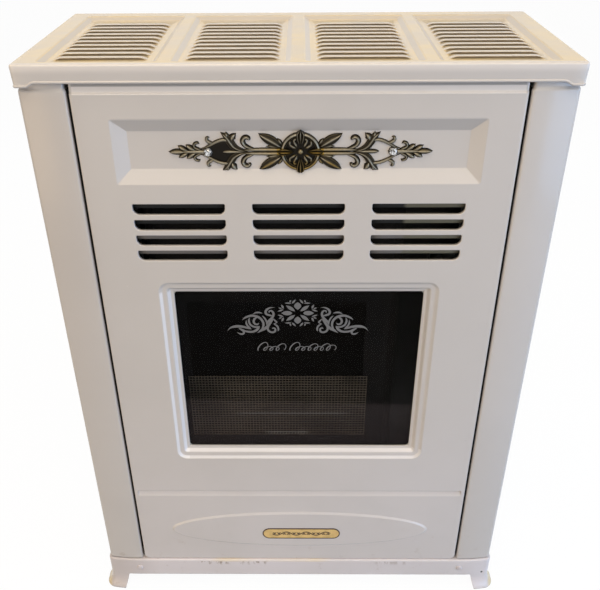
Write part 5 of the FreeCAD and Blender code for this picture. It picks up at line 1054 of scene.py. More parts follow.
SCROLL_PRINT = (
    [(26.5, 7.7, 0), (31.8, 7.7, 0.8), (36.2, 5.2, 1.3), (38, 1.4, 1.4), (36.8, -1.6, 1.4), (33.2, -3, 1.3),
     (29.8, -4, 0.6)],
    [(33.8, 0.6, 0.4), (33.6, 2.6, 0.9), (31.2, 3.3, 1.1), (29, 0.8, 1.3), (28.8, -2.8, 1.4), (30.4, -6.3, 1.4),
     (33.4, -9.8, 1.5), (36.2, -13.2, 1.4), (37.4, -16.6, 0.3)],
    [(42.4, -3.6, 0.2), (40.2, -5.8, 0.9), (38.1, -9.4, 1), (37, -13.6, 0.9), (37.5, -16.8, 0.2)],
    [(28.6, -7.6, 0.2), (30.6, -10, 1.2), (33.2, -14.4, 1.5), (36.4, -19, 1.8), (39.8, -22.2, 1.8), (44, -24.6, 1.5),
     (49, -28.6, 0)],
    [(35.6, -19, 1.4), (36, -22.2, 1.3), (34.6, -25.4, 1.3), (31.6, -27.2, 1.3), (28.4, -26.8, 1.3),
     (26.8, -24.4, 1.2), (27.4, -21.8, 1), (29.4, -21.2, 0.9), (30.8, -22, 0.3)],
    [(28.8, -8, 0.3), (27, -10.6, 1), (25, -13, 0.8), (28.6, -15.4, 0.5)],
    [(28.4, -15.6, 0.4), (25.4, -17.4, 1.1), (23.6, -20.4, 1.1), (23.3, -23.8, 0.9), (24.3, -26, 0)],
    [(66.4, -10, 0), (63.4, -7, 1), (58.8, -4.5, 1.4), (53.8, -3.5, 1.6), (47.8, -5, 1.6), (43.8, -8.2, 1.5),
     (41.4, -12.7, 1.4), (41, -17.2, 1.3), (42.3, -21.2, 1), (44.4, -24.4, 0.2)],
    [(48, -5.6, 0.6), (51.3, -8, 1.3), (52.6, -11.8, 1.3), (51.2, -15, 1.3), (48.4, -15.9, 1.2), (46.2, -13.8, 0.3)],
    [(53.6, -1.4, 0), (49.8, 0.6, 1), (46.3, 1, 1.1), (43, 0.2, 0.6), (41.4, 0, 0)],
    [(57, -6.2, 0.2), (58.2, -10, 1.1), (57.6, -14.2, 1.2), (55.6, -17.4, 1.2), (52, -19.4, 1.2), (48.6, -19.6, 1),
     (45.6, -18.2, 0.2)],
    [(61.2, -9.6, 0.1), (61.5, -13.6, 1), (60.4, -17.2, 1.1), (58.2, -20.2, 1.2), (55.6, -22.6, 0.2)],
    [(84.8, -25.4, 0), (80.8, -20.9, 0.9), (75.8, -19, 1.7), (69.8, -18.7, 1.8), (64.2, -19.6, 1.5),
     (59.8, -21.2, 1.2), (55.6, -22.7, 0.2)],
    [(45.6, -18.4, 0.1), (47.2, -21.2, 1.4), (49.8, -24.2, 1.6), (53.8, -26.3, 1.5), (58.8, -26.5, 1.4),
     (63.8, -25.2, 1.2), (66.8, -23.2, 1), (70.6, -21.4, 0.6)],
    [(70.2, -21.8, 0.6), (67.4, -23.6, 1.1), (64.8, -26.4, 1.2), (65.8, -29.4, 1.2), (69, -29.6, 1.1),
     (73.4, -27, 0)],
)
# Rows of pen loops under it: where each starts and how tall its loops are, in millimetres.
PEN_LOOPS = ((-48, (12, 6, 6, 10)), (-9, (12, 6, 6, 10, 6, 10, 8)))


def pen_loops(start, heights):
    """Row of pen loops, knots and half widths: each runs one pitch on, swings back at its crown and slants."""
    turn = np.linspace(0, 1, 12, endpoint=False)
    place = np.arange(len(heights))[:, None] + turn
    rise = np.array(heights)[:, None] * (1 - np.cos(2 * math.pi * turn)) / 2
    across = start + 7.5 * place - 3.4 * np.sin(2 * math.pi * turn) + 0.4 * rise
    width = 0.45 + 0.3 * np.clip(np.sin(2 * math.pi * turn), 0, None) + 0 * rise
    return np.stack([across.ravel(), rise.ravel() - 54, width.ravel()], 1)


def mirror_images(knots):
    """A stroke and its mirror images across and upright, without those that would fall on it."""
    sides = (1, -1) if knots[:, 0].any() else (1,)
    levels = (1, -1) if knots[:, 1].any() else (1,)
    return [knots * (side, level, 1) for side in sides for level in levels]


def pane_print(size, panel):
    """Rosette of eight petals with buds round it, between two mirrored scrolls, over two rows of pen loops."""
    surface = Surface()
    z = GLASS_HIGH.z - panel.glass_lap - size.print_drop
    y = GLASS_LOW.y - size.print_lift
    for knots in ROSETTE_PRINT:
        for image in mirror_images(np.array(knots, float)):
            ribbon(surface, image, y, size.print_shift, z)
    for index, knots in enumerate(SCROLL_PRINT):
        for side in (1, -1):
            ribbon(surface, [(side * u, v, width) for u, v, width in knots], y - index * size.print_layer,
                   size.print_shift, z)
    for start, heights in PEN_LOOPS:
        ribbon(surface, pen_loops(start, heights), y, size.print_shift, z, 3)
    return facing_front(surface)


def dial_marks(size):
    """Marks on the control recess's floor: ticks on an arc over the knob, longer from one end to the other, each the
    corner points of a bar laid along its radius."""
    surface = Surface()
    turn = np.linspace(size.dial_start, math.pi - size.dial_start, size.dial_ticks)[:, None]
    reach = size.dial_radius + np.linspace(size.tick_short, size.tick_long, size.dial_ticks)[:, None] * [0, 1, 1, 0]
    side = size.tick_width / 2 * np.array([-1, -1, 1, 1])
    across = reach * np.cos(turn) - side * np.sin(turn)
    rise = reach * np.sin(turn) + side * np.cos(turn)
    points = np.stack([0 * across + TRAY_LOW.x + size.tray_sheet + TINY, KNOB.y + across, KNOB.z + rise], -1)
    surface.add(points, np.arange(4 * size.dial_ticks).reshape(-1, 4)[:, ::-1])
    return surface


def bars(low, high, axis, pitch, thick):
    """Square wires along one axis of a box, a pitch apart on the other, as one array of corner points."""
    other = 2 if axis == 0 else 0
    wires = int((high[other] - low[other]) / pitch) + 1
    centre = np.linspace(low[other] + thick, high[other] - thick, wires)
    corner = np.array([(-1, -1), (1, -1), (1, 1), (-1, 1)]) * thick / 2
    points = np.zeros((wires, 2, 4, 3))
    points[..., axis] = np.array([low[axis], high[axis]])[None, :, None]
    points[..., other] = centre[:, None, None] + corner[:, 0]
    points[..., 1] = (low[1] + high[1]) / 2 + corner[:, 1] + (0.5 if axis else -0.5) * thick
    return points


def wire_screen(size):
    """Woven screen: upright and level wires over the whole opening."""
    surface = Surface()
    low, high = np.array([MESH_LOW, MESH_HIGH]) - (0, 0, size.screen_drop)
    for axis in (0, 2):
        for wire in bars(low, high, axis, size.wire_pitch, size.wire):
            surface.grid(wire, closed=True)
    return surface


def math_node(operation, turned=False):
    """An operator that adds a Math node; a turned one has its own value second."""
    def operator(self, other=0.0):
        first, second = (other, self) if turned else (self, other)
        return self.nodes.node("ShaderNodeMath", {"operation": operation}, {0: first, 1: second})
    return operator


class Signal:
    """One shader output that takes part in Python arithmetic: every operator adds a Math node."""

    __add__ = math_node("ADD")
    __radd__ = math_node("ADD", True)
    __sub__ = math_node("SUBTRACT")
    __rsub__ = math_node("SUBTRACT", True)
    __mul__ = math_node("MULTIPLY")
    __rmul__ = math_node("MULTIPLY", True)
    __abs__ = math_node("ABSOLUTE")
    most = math_node("MAXIMUM")
    root = math_node("SQRT")

    def __init__(self, nodes, output):
        self.nodes = nodes
        self.output = output

    def rise(self, low, high):
        """0 below low, 1 above high, smooth between."""
        return self.nodes.node("ShaderNodeMapRange", {"interpolation_type": "SMOOTHSTEP"},
                               {"Value": self, "From Min": low, "From Max": high})

    def fall(self, low, high):
        """1 below low, 0 above high, smooth between."""
        return 1 - self.rise(low, high)

    def near(self, place, inner, outer):
        """1 within the inner distance of a place, 0 beyond the outer one, smooth between."""
        return abs(self - place).fall(inner, outer)


class Nodes:
    """One node tree: node() adds any node, and its result takes part in arithmetic."""

    def __init__(self, tree):
        self.tree = tree

    def node(self, kind, settings=None, inputs=None, output=0):
        made = self.tree.nodes.new(kind)
        for name, value in (settings or {}).items():
            setattr(made, name, value)
        for name, value in (inputs or {}).items():
            self.feed(value, made.inputs[name])
        return Signal(self, made.outputs[output])

    def feed(self, value, socket):
        if isinstance(value, Signal):
            self.tree.links.new(value.output, socket)
        else:
            socket.default_value = value

    def seen(self):
        """1 for what the eye meets straight, in gloss or through glass, and 0 for what only lights the scene."""
        path = self.node("ShaderNodeLightPath").output.node
        eye, gloss, glass = (Signal(self, path.outputs[name])
                             for name in ("Is Camera Ray", "Is Glossy Ray", "Is Transmission Ray"))
        return eye.most(gloss).most(glass)


class Finish(Nodes):
    """One procedural material on object coordinates."""

    def __init__(self, name):
        self.material = bpy.data.materials.new(name)
        self.material.use_nodes = True
        super().__init__(self.material.node_tree)
        self.surface = self.tree.nodes["Principled BSDF"]
        self.place = self.node("ShaderNodeTexCoord", output="Object")

    def noise(self, scale, detail=3.0, rough=0.55, stretch=(1, 1, 1)):
        """Cloudy pattern from 0 to 1; the stretch squeezes it along an axis."""
        place = self.place
        if stretch != (1, 1, 1):
            place = self.node("ShaderNodeMapping", {}, {"Vector": place, "Scale": stretch})
        return self.node("ShaderNodeTexNoise", {}, {"Vector": place, "Scale": scale, "Detail": detail,
                                                    "Roughness": rough})

    def relief(self):
        """The relief mark of the points."""
        return self.node("ShaderNodeAttribute", {"attribute_name": "relief"}, {}, "Fac")

    def axes(self):
        parts = self.node("ShaderNodeSeparateXYZ", {}, {"Vector": self.place}).output.node
        return [Signal(self, output) for output in parts.outputs]

    def mix(self, factor, first, second):
        return self.node("ShaderNodeMix", {"data_type": "RGBA"}, {0: factor, 6: rgba(first), 7: rgba(second)}, 2)

    def bump(self, height, distance, strength):
        return self.node("ShaderNodeBump", {}, {"Height": height, "Distance": distance, "Strength": strength})

    def paint(self, **sockets):
        """Feeds the surface's sockets; an underscore in a name stands for a space."""
        for name, value in sockets.items():
            self.feed(value if name != "Base_Color" else rgba(value), self.surface.inputs[name.replace("_", " ")])
        return self.material


def rgba(value):
    """A colour with its alpha; a shader output stays as it is."""
    return value if isinstance(value, Signal) or len(value) == 4 else (*value, 1.0)


def shade(value, factor):
    """A colour made lighter or darker by a factor."""
    return tuple(min(1.0, part * factor) for part in value)


# Tones of single places and plain finishes, as linear colours.
# Painted shade deep in the seams.
SEAM_SHADE = (0.006, 0.005, 0.005)
DARK_HOLE = (0.02, 0.017, 0.015)
# Painted highlight on the window surround's bends.
SURROUND_HIGHLIGHT = (0.98, 0.95, 0.96)
# Near black laid over plain metal inside the cabinet.
INSIDE_DARK = (0.018, 0.016, 0.014)
# Painted light and shade on the slots' blades: shade above, lit grey rows below, lit olive on the right.
BLADE_SHADE = (0.003, 0.003, 0.003)
BLADE_LIT_GREY = (0.26, 0.24, 0.225)
BLADE_LIT_OLIVE = (0.2, 0.185, 0.13)
WIRE_TAN = (0.43, 0.355, 0.275)
WIRE_STAIN = (0.22, 0.18, 0.135)
# Painted glint on the screen's wires.
WIRE_GLINT = (1.0, 0.97, 0.9)
PANE_TINT = (0.004, 0.0035, 0.003)
# Painted reflection on the pane's lower part.
PANE_REFLECTION = (0.045, 0.036, 0.036)
STUD_CLEAR = (0.86, 0.87, 0.88)
STUD_CLOUD = (0.1, 0.095, 0.09)
KNOB_DARK = (0.014, 0.014, 0.015)
KNOB_PALE = (0.026, 0.026, 0.027)
POINTER = (0.75, 0.74, 0.72)
DIAL_INK = (0.02, 0.02, 0.022)
FLOOR_GREY = (0.34, 0.34, 0.35)
# Rust patches on the plinth: place across, half width, half width where the patch ends (millimetres) and strength.
RUST_PATCHES = ((-123, 18, 28, 1.0), (-68, 14, 24, 1.0), (137, 15, 35, 0.5))


class Enamel(Finish):
    """Vitreous enamel: a cloudy warm white coat, painted lighter low on the front and on the plinth to stand in for
    light, under layers of wear and of painted light and shade, with slight waviness of the sheet and a fine orange
    peel."""

    def __init__(self, name):
        super().__init__(name)
        self.colours = bpy.context.scene.heater_finish
        self.wear = bpy.context.scene.heater_wear
        self.x, self.y, self.z = self.axes()
        self.across = abs(self.x)
        self.cloud = self.noise(7.0)
        self.fleck = self.noise(55.0, 4.0, 0.65)
        self.plinth = self.z.fall(BASE_HIGH.z, BASE_HIGH.z + 0.3 * MM)
        self.coat = self.colours.enamel
        # Painted light: the lighter enamel low on the front and over the plinth stands in for light there.
        front = self.z.fall(*self.wear.fresh) * self.across.fall(PANEL_HIGH.x, SIDE_LOW.x) * 0.4
        self.lay(front.most(self.plinth), self.colours.fresh)
        self.lay(self.cloud.rise(0.35, 0.7) * 0.3, self.tone(0.9))

    def tone(self, factor):
        return shade(self.colours.enamel, factor)

    def lay(self, mask, tone):
        """Covers the coat with a tone as far as the mask says."""
        self.coat = self.mix(mask, self.coat, tone)

    def heated(self, strength):
        """Yellowed in patches on the lid's top, less on the louvres; a painted highlight lightens the front rim."""
        wear = self.wear
        up, back = self.z - COVER_HIGH.z, self.y - COVER_LOW.y
        patches = self.noise(16.0).rise(0.3, 0.7) * 0.5 + 0.5
        hoods = up.rise(*wear.hood_foot) * up.fall(*wear.hood_crown)
        top = up.rise(*wear.heat) * back.rise(*wear.heat_front)
        self.lay(patches * top * strength * (1 - hoods * 0.75), self.colours.aged)
        # Painted highlight: the lid's front rim is lightened.
        rim = up.rise(*wear.rim) * back.fall(*wear.rim_back)
        self.lay(rim * 0.9, self.tone(1.25))

    def used(self):
        """Duller on the left, dusty at the foot, with rare dark chips."""
        wear, grime = self.wear, self.colours.grime
        side = self.z.rise(*wear.dull_foot) * (self.z - SIDE_HIGH.z).fall(*wear.dull_neck) * 0.1
        self.lay(side.most(self.plinth * 0.18) * self.x.fall(*wear.dull_left), grime)
        self.lay(self.fleck.rise(0.6, 0.78) * self.z.fall(*wear.dust) * 0.3, shade(grime, 1.3))
        speck = self.node("ShaderNodeTexVoronoi", {}, {"Vector": self.place, "Scale": 34.0})
        self.chip = speck.fall(0.035, 0.06) * self.noise(11.0).rise(0.62, 0.68)
        self.lay(self.chip * 0.6, shade(grime, 0.45))

    def rusty(self):
        """Rust that runs down in patches under the plinth's top edge, a yellow line above it, painted warm light on
        the toes and an open screw hole."""
        wear = self.wear
        up = self.z - BASE_HIGH.z
        runs = self.noise(150.0, 5.0, 0.6, (1, 1, 0.3)).rise(0.5, 0.6)
        patches = 0 * self.x
        for place, inner, outer, strength in RUST_PATCHES:
            patches = patches.most(self.x.near(place * MM, inner * MM, outer * MM) * strength)
        band = up.rise(*wear.rust_foot) * up.fall(*wear.rust_top)
        self.lay(runs * band * patches * 0.6, self.colours.grime)
        line = up.rise(*wear.line) * self.x.near(wear.line_middle, *wear.line_end) * self.cloud.rise(0.3, 0.6)
        # Painted warm light on the toes, laid with the yellow line.
        toe_light = (self.across - BASE_HIGH.x).rise(*wear.toe) * self.z.fall(*wear.toe_top)
        self.lay((line * 0.45).most(toe_light * 0.8), self.colours.aged)
        aside, above = self.x - wear.hole_place, self.z - wear.hole_rise
        self.lay((aside * aside + above * above).root().fall(*wear.hole), DARK_HOLE)

    def recessed(self, panel):
        """Painted shade on the upper slope of the ornament recess."""
        below = PANEL_HIGH.z - panel.recess_drop - self.z
        inward = PANEL_HIGH.x - panel.recess_margin - self.across
        slope = below.rise(-0.5 * MM, 0.5 * MM) * below.fall(panel.recess_slope - MM, panel.recess_slope)
        sunk = self.y.rise(FRONT + 0.2 * MM, FRONT + MM)
        self.lay(slope * (inward - below).rise(-0.3 * MM, 0.3 * MM) * sunk, self.tone(0.82))

    def rubbed(self, panel):
        """Painted highlights on the bends of the window surround, on the left and at the foot: each slope lies
        between two distances from the pane, measured round the surround's corners."""
        half_u, half_v, z = opening(panel)
        up = self.z - z
        straight = panel.surround - panel.surround_corner
        past_u, past_v = self.across - half_u - straight, abs(up) - half_v - straight
        round_u, round_v = past_u.most(0), past_v.most(0)
        inside = (0 - past_u.most(past_v)).most(0)
        out = (round_u * round_u + round_v * round_v).root() - inside + straight
        bends = 0
        for edge in (panel.surround, panel.surround - panel.surround_slope - panel.surround_shelf):
            foot = edge - panel.surround_slope
            slope = out.rise(foot - 0.4 * MM, foot + 0.8 * MM) * out.fall(edge - 0.8 * MM, edge + 0.4 * MM)
            bends = slope + bends
        left = self.x.fall(-half_u - MM, -half_u) * up.fall(half_v, half_v + 4 * MM)
        lower = up.fall(-half_v - MM, -half_v)
        self.lay(bends * left.most(lower * 0.6), SURROUND_HIGHLIGHT)

    def banded(self, panel):
        """Painted light and shade on the top band: the band painted paler, a painted highlight on its shoulder's
        crest and a painted shadow line under the lid.
        """
        above = self.z - PANEL_HIGH.z + panel.band
        middle = self.across.fall(PANEL_HIGH.x - 4 * MM, PANEL_HIGH.x - 2 * MM)
        # Painted light on the band, then a painted highlight on its crest.
        self.lay(above.rise(0, panel.step) * middle, self.tone(1.28))
        crest_highlight = above.rise(-0.5 * MM, 0.6 * MM) * above.fall(panel.step - 0.6 * MM, panel.step + 0.4 * MM)
        self.lay(crest_highlight * middle, self.tone(1.36))
        # Painted shadow under the lid's lip.
        lid_shadow = above.rise(panel.band - 5.2 * MM, panel.band - 4 * MM)
        self.lay(lid_shadow * middle * 0.75, self.tone(0.45))

    def seamed(self):
        """Painted shade: black deep in the seams beside the front panel and along the side panels' feet."""
        gap = self.across.rise(PANEL_HIGH.x - 1.5 * MM, PANEL_HIGH.x - 0.4 * MM)
        gap = gap * self.across.fall(SIDE_LOW.x + 0.4 * MM, SIDE_LOW.x + 1.5 * MM)
        deep = self.y.rise(FRONT + 3 * MM, FRONT + 6 * MM)
        side = self.across.rise(SIDE_LOW.x, SIDE_LOW.x + MM)
        foot = self.z.fall(SIDE_LOW.z + 1.2 * MM, SIDE_LOW.z + 2.2 * MM)
        self.lay((gap * deep).most(side * foot * 0.85), SEAM_SHADE)

    def fired(self):
        """The finished material: glossy, duller on flecks and chips."""
        wave = self.noise(9.0, 1.0)
        peel = self.noise(520.0, 2.0)
        return self.paint(Base_Color=self.coat, Roughness=0.2 + 0.1 * self.fleck + 0.35 * self.chip,
                          Coat_Weight=0.25, Coat_Roughness=0.1,
                          Normal=self.bump(wave + peel * 0.012, 1.2 * MM, 0.5))


def cabinet_enamel(name):
    """Enamel of the front and side panels."""
    panel = bpy.context.scene.heater_panel
    coat = Enamel(name)
    coat.used()
    coat.recessed(panel)
    coat.rubbed(panel)
    coat.banded(panel)
    coat.seamed()
    return coat.fired()


def lid_enamel(name):
    """Enamel of the hot lid."""
    coat = Enamel(name)
    coat.heated(0.8)
    coat.used()
    return coat.fired()


def plinth_enamel(name):
    """Enamel of the plinth."""
    coat = Enamel(name)
    coat.used()
    coat.rusty()
    return coat.fired()


def metal(name, tone, rough=0.35, metallic=1.0, stain=None, stretch=(1, 1, 1), scale=40.0, grain=0.2 * MM,
          sooty=0.0):
    """Plain metal or lacquer: tone varied by a cloudy stain, roughness by finer clouds, and a slight grain; inside
    the cabinet it may be darkened towards near black."""
    finish = Finish(name)
    cloud = finish.noise(scale * 0.35, 4.0)
    fine = finish.noise(scale * 6, 3.0, 0.6, stretch)
    base = finish.mix(cloud.rise(0.38, 0.72) * 0.75, tone, stain or shade(tone, 0.72))
    if sooty:
        x, y, z = finish.axes()
        inside = (y - REAR_LOW.y).fall(0.5 * MM, 1.5 * MM) * (abs(x) - TRAY_LOW.x).fall(-2 * MM, -MM)
        base = finish.mix(inside * sooty * (0.8 + 0.2 * cloud), base, INSIDE_DARK)
    return finish.paint(Base_Color=base, Metallic=metallic, Roughness=rough * 0.75 + fine * rough * 0.5,
                        Normal=finish.bump(fine, grain, 0.6))


def cast_brass(name):
    """Cast brass: dark patina in the hollows, half rubbed bronze on the flanks, rubbed silver on the crowns, which
    turn to gold on the rosette's side leaves, the lower half, the rods and the tips, finely pitted."""
    finish = Finish(name)
    scene = bpy.context.scene
    colours, size, places = scene.heater_finish, scene.heater_ornament, scene.heater_wear
    x, y, z = finish.axes()
    pit = finish.noise(300.0, 4.0, 0.6)
    worn = finish.relief() + pit * 0.3 - 0.15
    wear = worn.rise(0.55, 1.05)
    out = abs(x - size.shift)
    up = z - rosette_height(size)
    level = abs(up)
    palms = out.rise(*places.palm_start) * out.fall(*places.palm_end) * level.fall(*places.palm_level)
    lower = up.fall(*places.lower_level) * out.fall(*places.lower_end) * 0.75
    rods = out.fall(*places.rod_end) * level.fall(*places.rod_level) * 0.5
    tips = out.rise(*places.tip) * 0.4
    warm = (palms.most(lower).most(rods).most(tips) + finish.noise(60.0) * 0.5 - 0.3).rise(0.1, 0.9)
    base = finish.mix(worn.rise(0.1, 0.6), colours.patina, colours.bronze)
    base = finish.mix(wear, base, finish.mix(warm, colours.silver, colours.gold))
    return finish.paint(Base_Color=base, Metallic=0.75 + 0.2 * wear, Roughness=0.42 - 0.14 * wear,
                        Normal=finish.bump(pit, 0.5 * MM, 0.5))


def soot(name):
    """Steel of the slots' blades with painted light and shade: near black shade above, a lit grey on the lower rows
    and a lit olive on the right.
    """
    finish = Finish(name)
    wear = bpy.context.scene.heater_wear
    x, y, z = finish.axes()
    cloud = finish.noise(40.0, 4.0)
    base = finish.mix(z.fall(*wear.ash) * (0.7 + 0.3 * cloud), BLADE_SHADE, BLADE_LIT_GREY)
    base = finish.mix(x.rise(*wear.olive) * (0.75 + 0.25 * cloud), base, BLADE_LIT_OLIVE)
    return finish.paint(Base_Color=base, Roughness=0.7 + 0.2 * cloud)


# Painted glints on the screen, in millimetres: height above its CAD sheet's foot, half height and where that ends,
# the same across from the heater's middle, and strength.
SCREEN_GLINTS = (((31.2, 1.6, 3.6), (-9, 60, 85), 0.5), ((-3.2, 1.6, 3), (-17, 20, 36), 0.9))


def screen(name):
    """Steel wire of the screen: tan with darker heat stains, a painted glint in a bright level stripe and in a short
    one near the foot.
    """
    finish = Finish(name)
    x, y, z = finish.axes()
    cloud = finish.noise(12.0, 3.0)
    base = finish.mix(cloud.rise(0.4, 0.7), WIRE_TAN, WIRE_STAIN)
    for rows, columns, strength in SCREEN_GLINTS:
        glint = (z - MESH_LOW.z).near(*np.multiply(rows, MM)) * x.near(*np.multiply(columns, MM))
        base = finish.mix(glint * strength, base, WIRE_GLINT)
    return finish.paint(Base_Color=base, Metallic=0.1, Roughness=0.4 + 0.2 * cloud)


def pane(name):
    """Dark tinted glass, with faint smears in its gloss and a painted reflection, a grey haze, on its lower third.
    """
    finish = Finish(name)
    wear = bpy.context.scene.heater_wear
    x, y, z = finish.axes()
    smear = finish.noise(14.0, 4.0)
    film = (z - GLASS_LOW.z + wear.film_tilt * x).fall(*wear.film) * (0.8 + 0.4 * smear)
    base = finish.mix(film, PANE_TINT, PANE_REFLECTION)
    return finish.paint(Base_Color=base, Roughness=0.03 + 0.06 * smear.rise(0.4, 0.8),
                        Alpha=0.3 + 0.06 * smear, Specular_IOR_Level=0.05)


def crystal(name):
    """Clear faceted stud over bright foil, slightly clouded."""
    finish = Finish(name)
    cloud = finish.noise(330.0)
    base = finish.mix(cloud.rise(0.42, 0.62), STUD_CLEAR, STUD_CLOUD)
    return finish.paint(Base_Color=base, Metallic=0.7, Roughness=0.06 + 0.1 * cloud, Coat_Weight=0.4)


def ink(name, tone):
    """Screen print: matt and a little uneven."""
    finish = Finish(name)
    cloud = finish.noise(120.0, 4.0)
    return finish.paint(Base_Color=finish.mix(cloud, tone, shade(tone, 0.8)), Roughness=0.5 + 0.2 * cloud)


def foil(name):
    """Gold foil badge with a dark rim where the relief is marked."""
    finish = Finish(name)
    colours = bpy.context.scene.heater_finish
    rim = finish.relief().rise(0.3, 0.7)
    cloud = finish.noise(90.0, 4.0)
    gold = finish.mix(cloud.rise(0.4, 0.75), colours.foil, shade(colours.foil, 0.8))
    return finish.paint(Base_Color=finish.mix(rim, gold, colours.foil_edge), Metallic=0.35 * (1 - rim),
                        Roughness=0.35 + 0.15 * cloud)


def knob_plastic(name):
    """Black plastic with a white pointer line on the grip's outer half."""
    finish = Finish(name)
    places = bpy.context.scene.heater_wear
    x, y, z = finish.axes()
    fine = finish.noise(700.0, 3.0, 0.6)
    line = y.near(KNOB.y, *places.pointer_side) * (z - KNOB.z).rise(*places.pointer_start)
    line = line * (x - KNOB_HIGH.x).rise(*places.pointer_face)
    base = finish.mix(line, finish.mix(fine, KNOB_DARK, KNOB_PALE), POINTER)
    return finish.paint(Base_Color=base, Roughness=0.3 + 0.2 * fine, Normal=finish.bump(fine, 0.2 * MM, 0.6))


def plain(name, tone, rough, scale=60.0, grain=0.3 * MM):
    """Plastic, ceramic or cord: an uneven tone with a fine grain."""
    return metal(name, tone, rough, 0.0, shade(tone, 0.8), scale=scale, grain=grain)


def painted_screw(name):
    """Screw heads under the plinth's enamel."""
    return metal(name, shade(bpy.context.scene.heater_finish.fresh, 0.93), 0.9, 0.0)


MAKERS = {
    "enamel": cabinet_enamel,
    "zinc_plate": partial(metal, tone=(0.5, 0.5, 0.5), rough=0.5, metallic=0.9, stain=(0.36, 0.36, 0.36), sooty=0.9),
    "spring_steel": partial(metal, tone=(0.5, 0.5, 0.52), rough=0.25),
    "dark_screw": painted_screw,
    "black_heatproof": partial(metal, tone=(0.008, 0.007, 0.007), rough=0.95, metallic=0.0,
                               stain=(0.018, 0.014, 0.011), grain=0.0),
    "mesh_steel": screen,
    "flue_steel": partial(metal, tone=(0.58, 0.58, 0.57), rough=0.38, stain=(0.4, 0.39, 0.37), stretch=(1, 8, 1)),
    "pane": pane,
    "gasket_cord": partial(plain, tone=(0.55, 0.53, 0.48), rough=0.9, scale=200.0, grain=0.8 * MM),
    "cast_brass": cast_brass,
    "crystal": crystal,
    "badge_metal": foil,
    "brass": partial(metal, tone=(0.6, 0.43, 0.16), rough=0.3, stain=(0.38, 0.25, 0.1)),
    "copper": partial(metal, tone=(0.62, 0.3, 0.18), stain=(0.3, 0.14, 0.09)),
    "ceramic": partial(plain, tone=(0.78, 0.76, 0.7), rough=0.35),
    "lead_sleeve": partial(plain, tone=(0.03, 0.03, 0.032), rough=0.55),
    "die_cast": partial(metal, tone=(0.42, 0.42, 0.43), rough=0.5, metallic=0.9, stain=(0.3, 0.3, 0.3), scale=60.0,
                        grain=0.6 * MM),
    "black_plastic": knob_plastic,
    "button_plastic": partial(plain, tone=(0.42, 0.035, 0.025), rough=0.3, scale=120.0, grain=0.2 * MM),
}


def finish_for(slot):
    """The material of a slot, made once under the slot's name and the word finish."""
    name = slot + "_finish"
    return bpy.data.materials.get(name) or MAKERS[slot](name)


class HEATER_OT_front_panel(bpy.types.Operator):
    """Builds the pressed front panel"""

    bl_idname = "heater.front_panel"
    bl_label = "Front panel"

    def execute(self, context):
        form = PressedPanel(context.scene.heater_panel)
        blades = form.slots(form.recess() - form.size.slot_drop)
        form.window()
        form.groove()
        form.oval()
        form.edges()
        form.surface.piece("front_sheet", "front_panel", "enamel", finish_for("enamel"), ("front_panel",),
                           thick=form.size.sheet, outward=True)
        # The blades carry painted light and shade of the cabinet's inside.
        blades.piece("slot_blades", "front_panel", "black_heatproof", soot("soot"), thick=form.size.sheet / 2)
        return {"FINISHED"}


class HEATER_OT_top_cover(bpy.types.Operator):
    """Builds the louvred lid"""

    bl_idname = "heater.top_cover"
    bl_label = "Top cover"

    def execute(self, context):
        sheet = context.scene.heater_panel.sheet
        surface, shade_strips = cover_sheet(context.scene.heater_cover, sheet)
        surface.piece("lid_sheet", "cabinet", "enamel", lid_enamel("enamel_lid"), ("top_cover",), thick=sheet,
                      outward=True)
        # Painted shade: the strips behind the mouths take the brown of the shaded inside.
        dust = plain("gauze_dust", context.scene.heater_finish.dust, 0.9, 200.0)
        shade_strips.piece("louvre_gauze", "cabinet", "enamel", dust)
        return {"FINISHED"}


class HEATER_OT_side_panels(bpy.types.Operator):
    """Builds both folded side panels"""

    bl_idname = "heater.side_panels"
    bl_label = "Side panels"

    def execute(self, context):
        panel = context.scene.heater_panel
        for name, node, window in (("left_side_sheet", "left_side_panel", False),
                                   ("right_side_sheet", "right_side_panel", True)):
            surface = side_sheet(context.scene.heater_body, panel, window)
            surface.piece(name, "cabinet", "enamel", finish_for("enamel"), (node,), thick=panel.sheet, outward=True)
        return {"FINISHED"}


class HEATER_OT_base(bpy.types.Operator):
    """Builds the plinth with its flared feet"""

    bl_idname = "heater.base"
    bl_label = "Base"

    def execute(self, context):
        size = context.scene.heater_body
        base_sheet(size).piece("plinth_sheet", "cabinet", "enamel", plinth_enamel("enamel_base"), ("base_plinth",),
                               thick=size.base_sheet, outward=True)
        return {"FINISHED"}


class HEATER_OT_ornament(bpy.types.Operator):
    """Builds the cast applique in the recess and its clear studs"""

    bl_idname = "heater.ornament"
    bl_label = "Ornament"

    def execute(self, context):
        size = context.scene.heater_ornament
        panel = context.scene.heater_panel
        build_ornament(size, panel).piece("cast_applique", "front_panel", "cast_brass", finish_for("cast_brass"),
                                          ("ornament",))
        studs(size, panel).piece("clear_studs", "front_panel", "crystal", finish_for("crystal"),
                                 ("ornament_crystals",), crease=5)
        return {"FINISHED"}


class HEATER_OT_badge(bpy.types.Operator):
    """Builds the gold badge on the oval"""

    bl_idname = "heater.badge"
    bl_label = "Badge"

    def execute(self, context):
        size = context.scene.heater_badge
        panel = context.scene.heater_panel
        badge(size, panel).piece("gold_badge", "front_panel", "badge_metal", finish_for("badge_metal"),
                                 ("badge_plate",))
        badge_print(size, panel).piece("badge_vine", "front_panel", "badge_metal",
                                       ink("vine", context.scene.heater_finish.foil_edge))
        return {"FINISHED"}


class HEATER_OT_dial(bpy.types.Operator):
    """Builds the marks round the control knob"""

    bl_idname = "heater.dial"
    bl_label = "Dial"

    def execute(self, context):
        marks = dial_marks(context.scene.heater_dial)
        marks.piece("dial_marks", "cabinet", "black_plastic", ink("dial_ink", DIAL_INK))
        return {"FINISHED"}


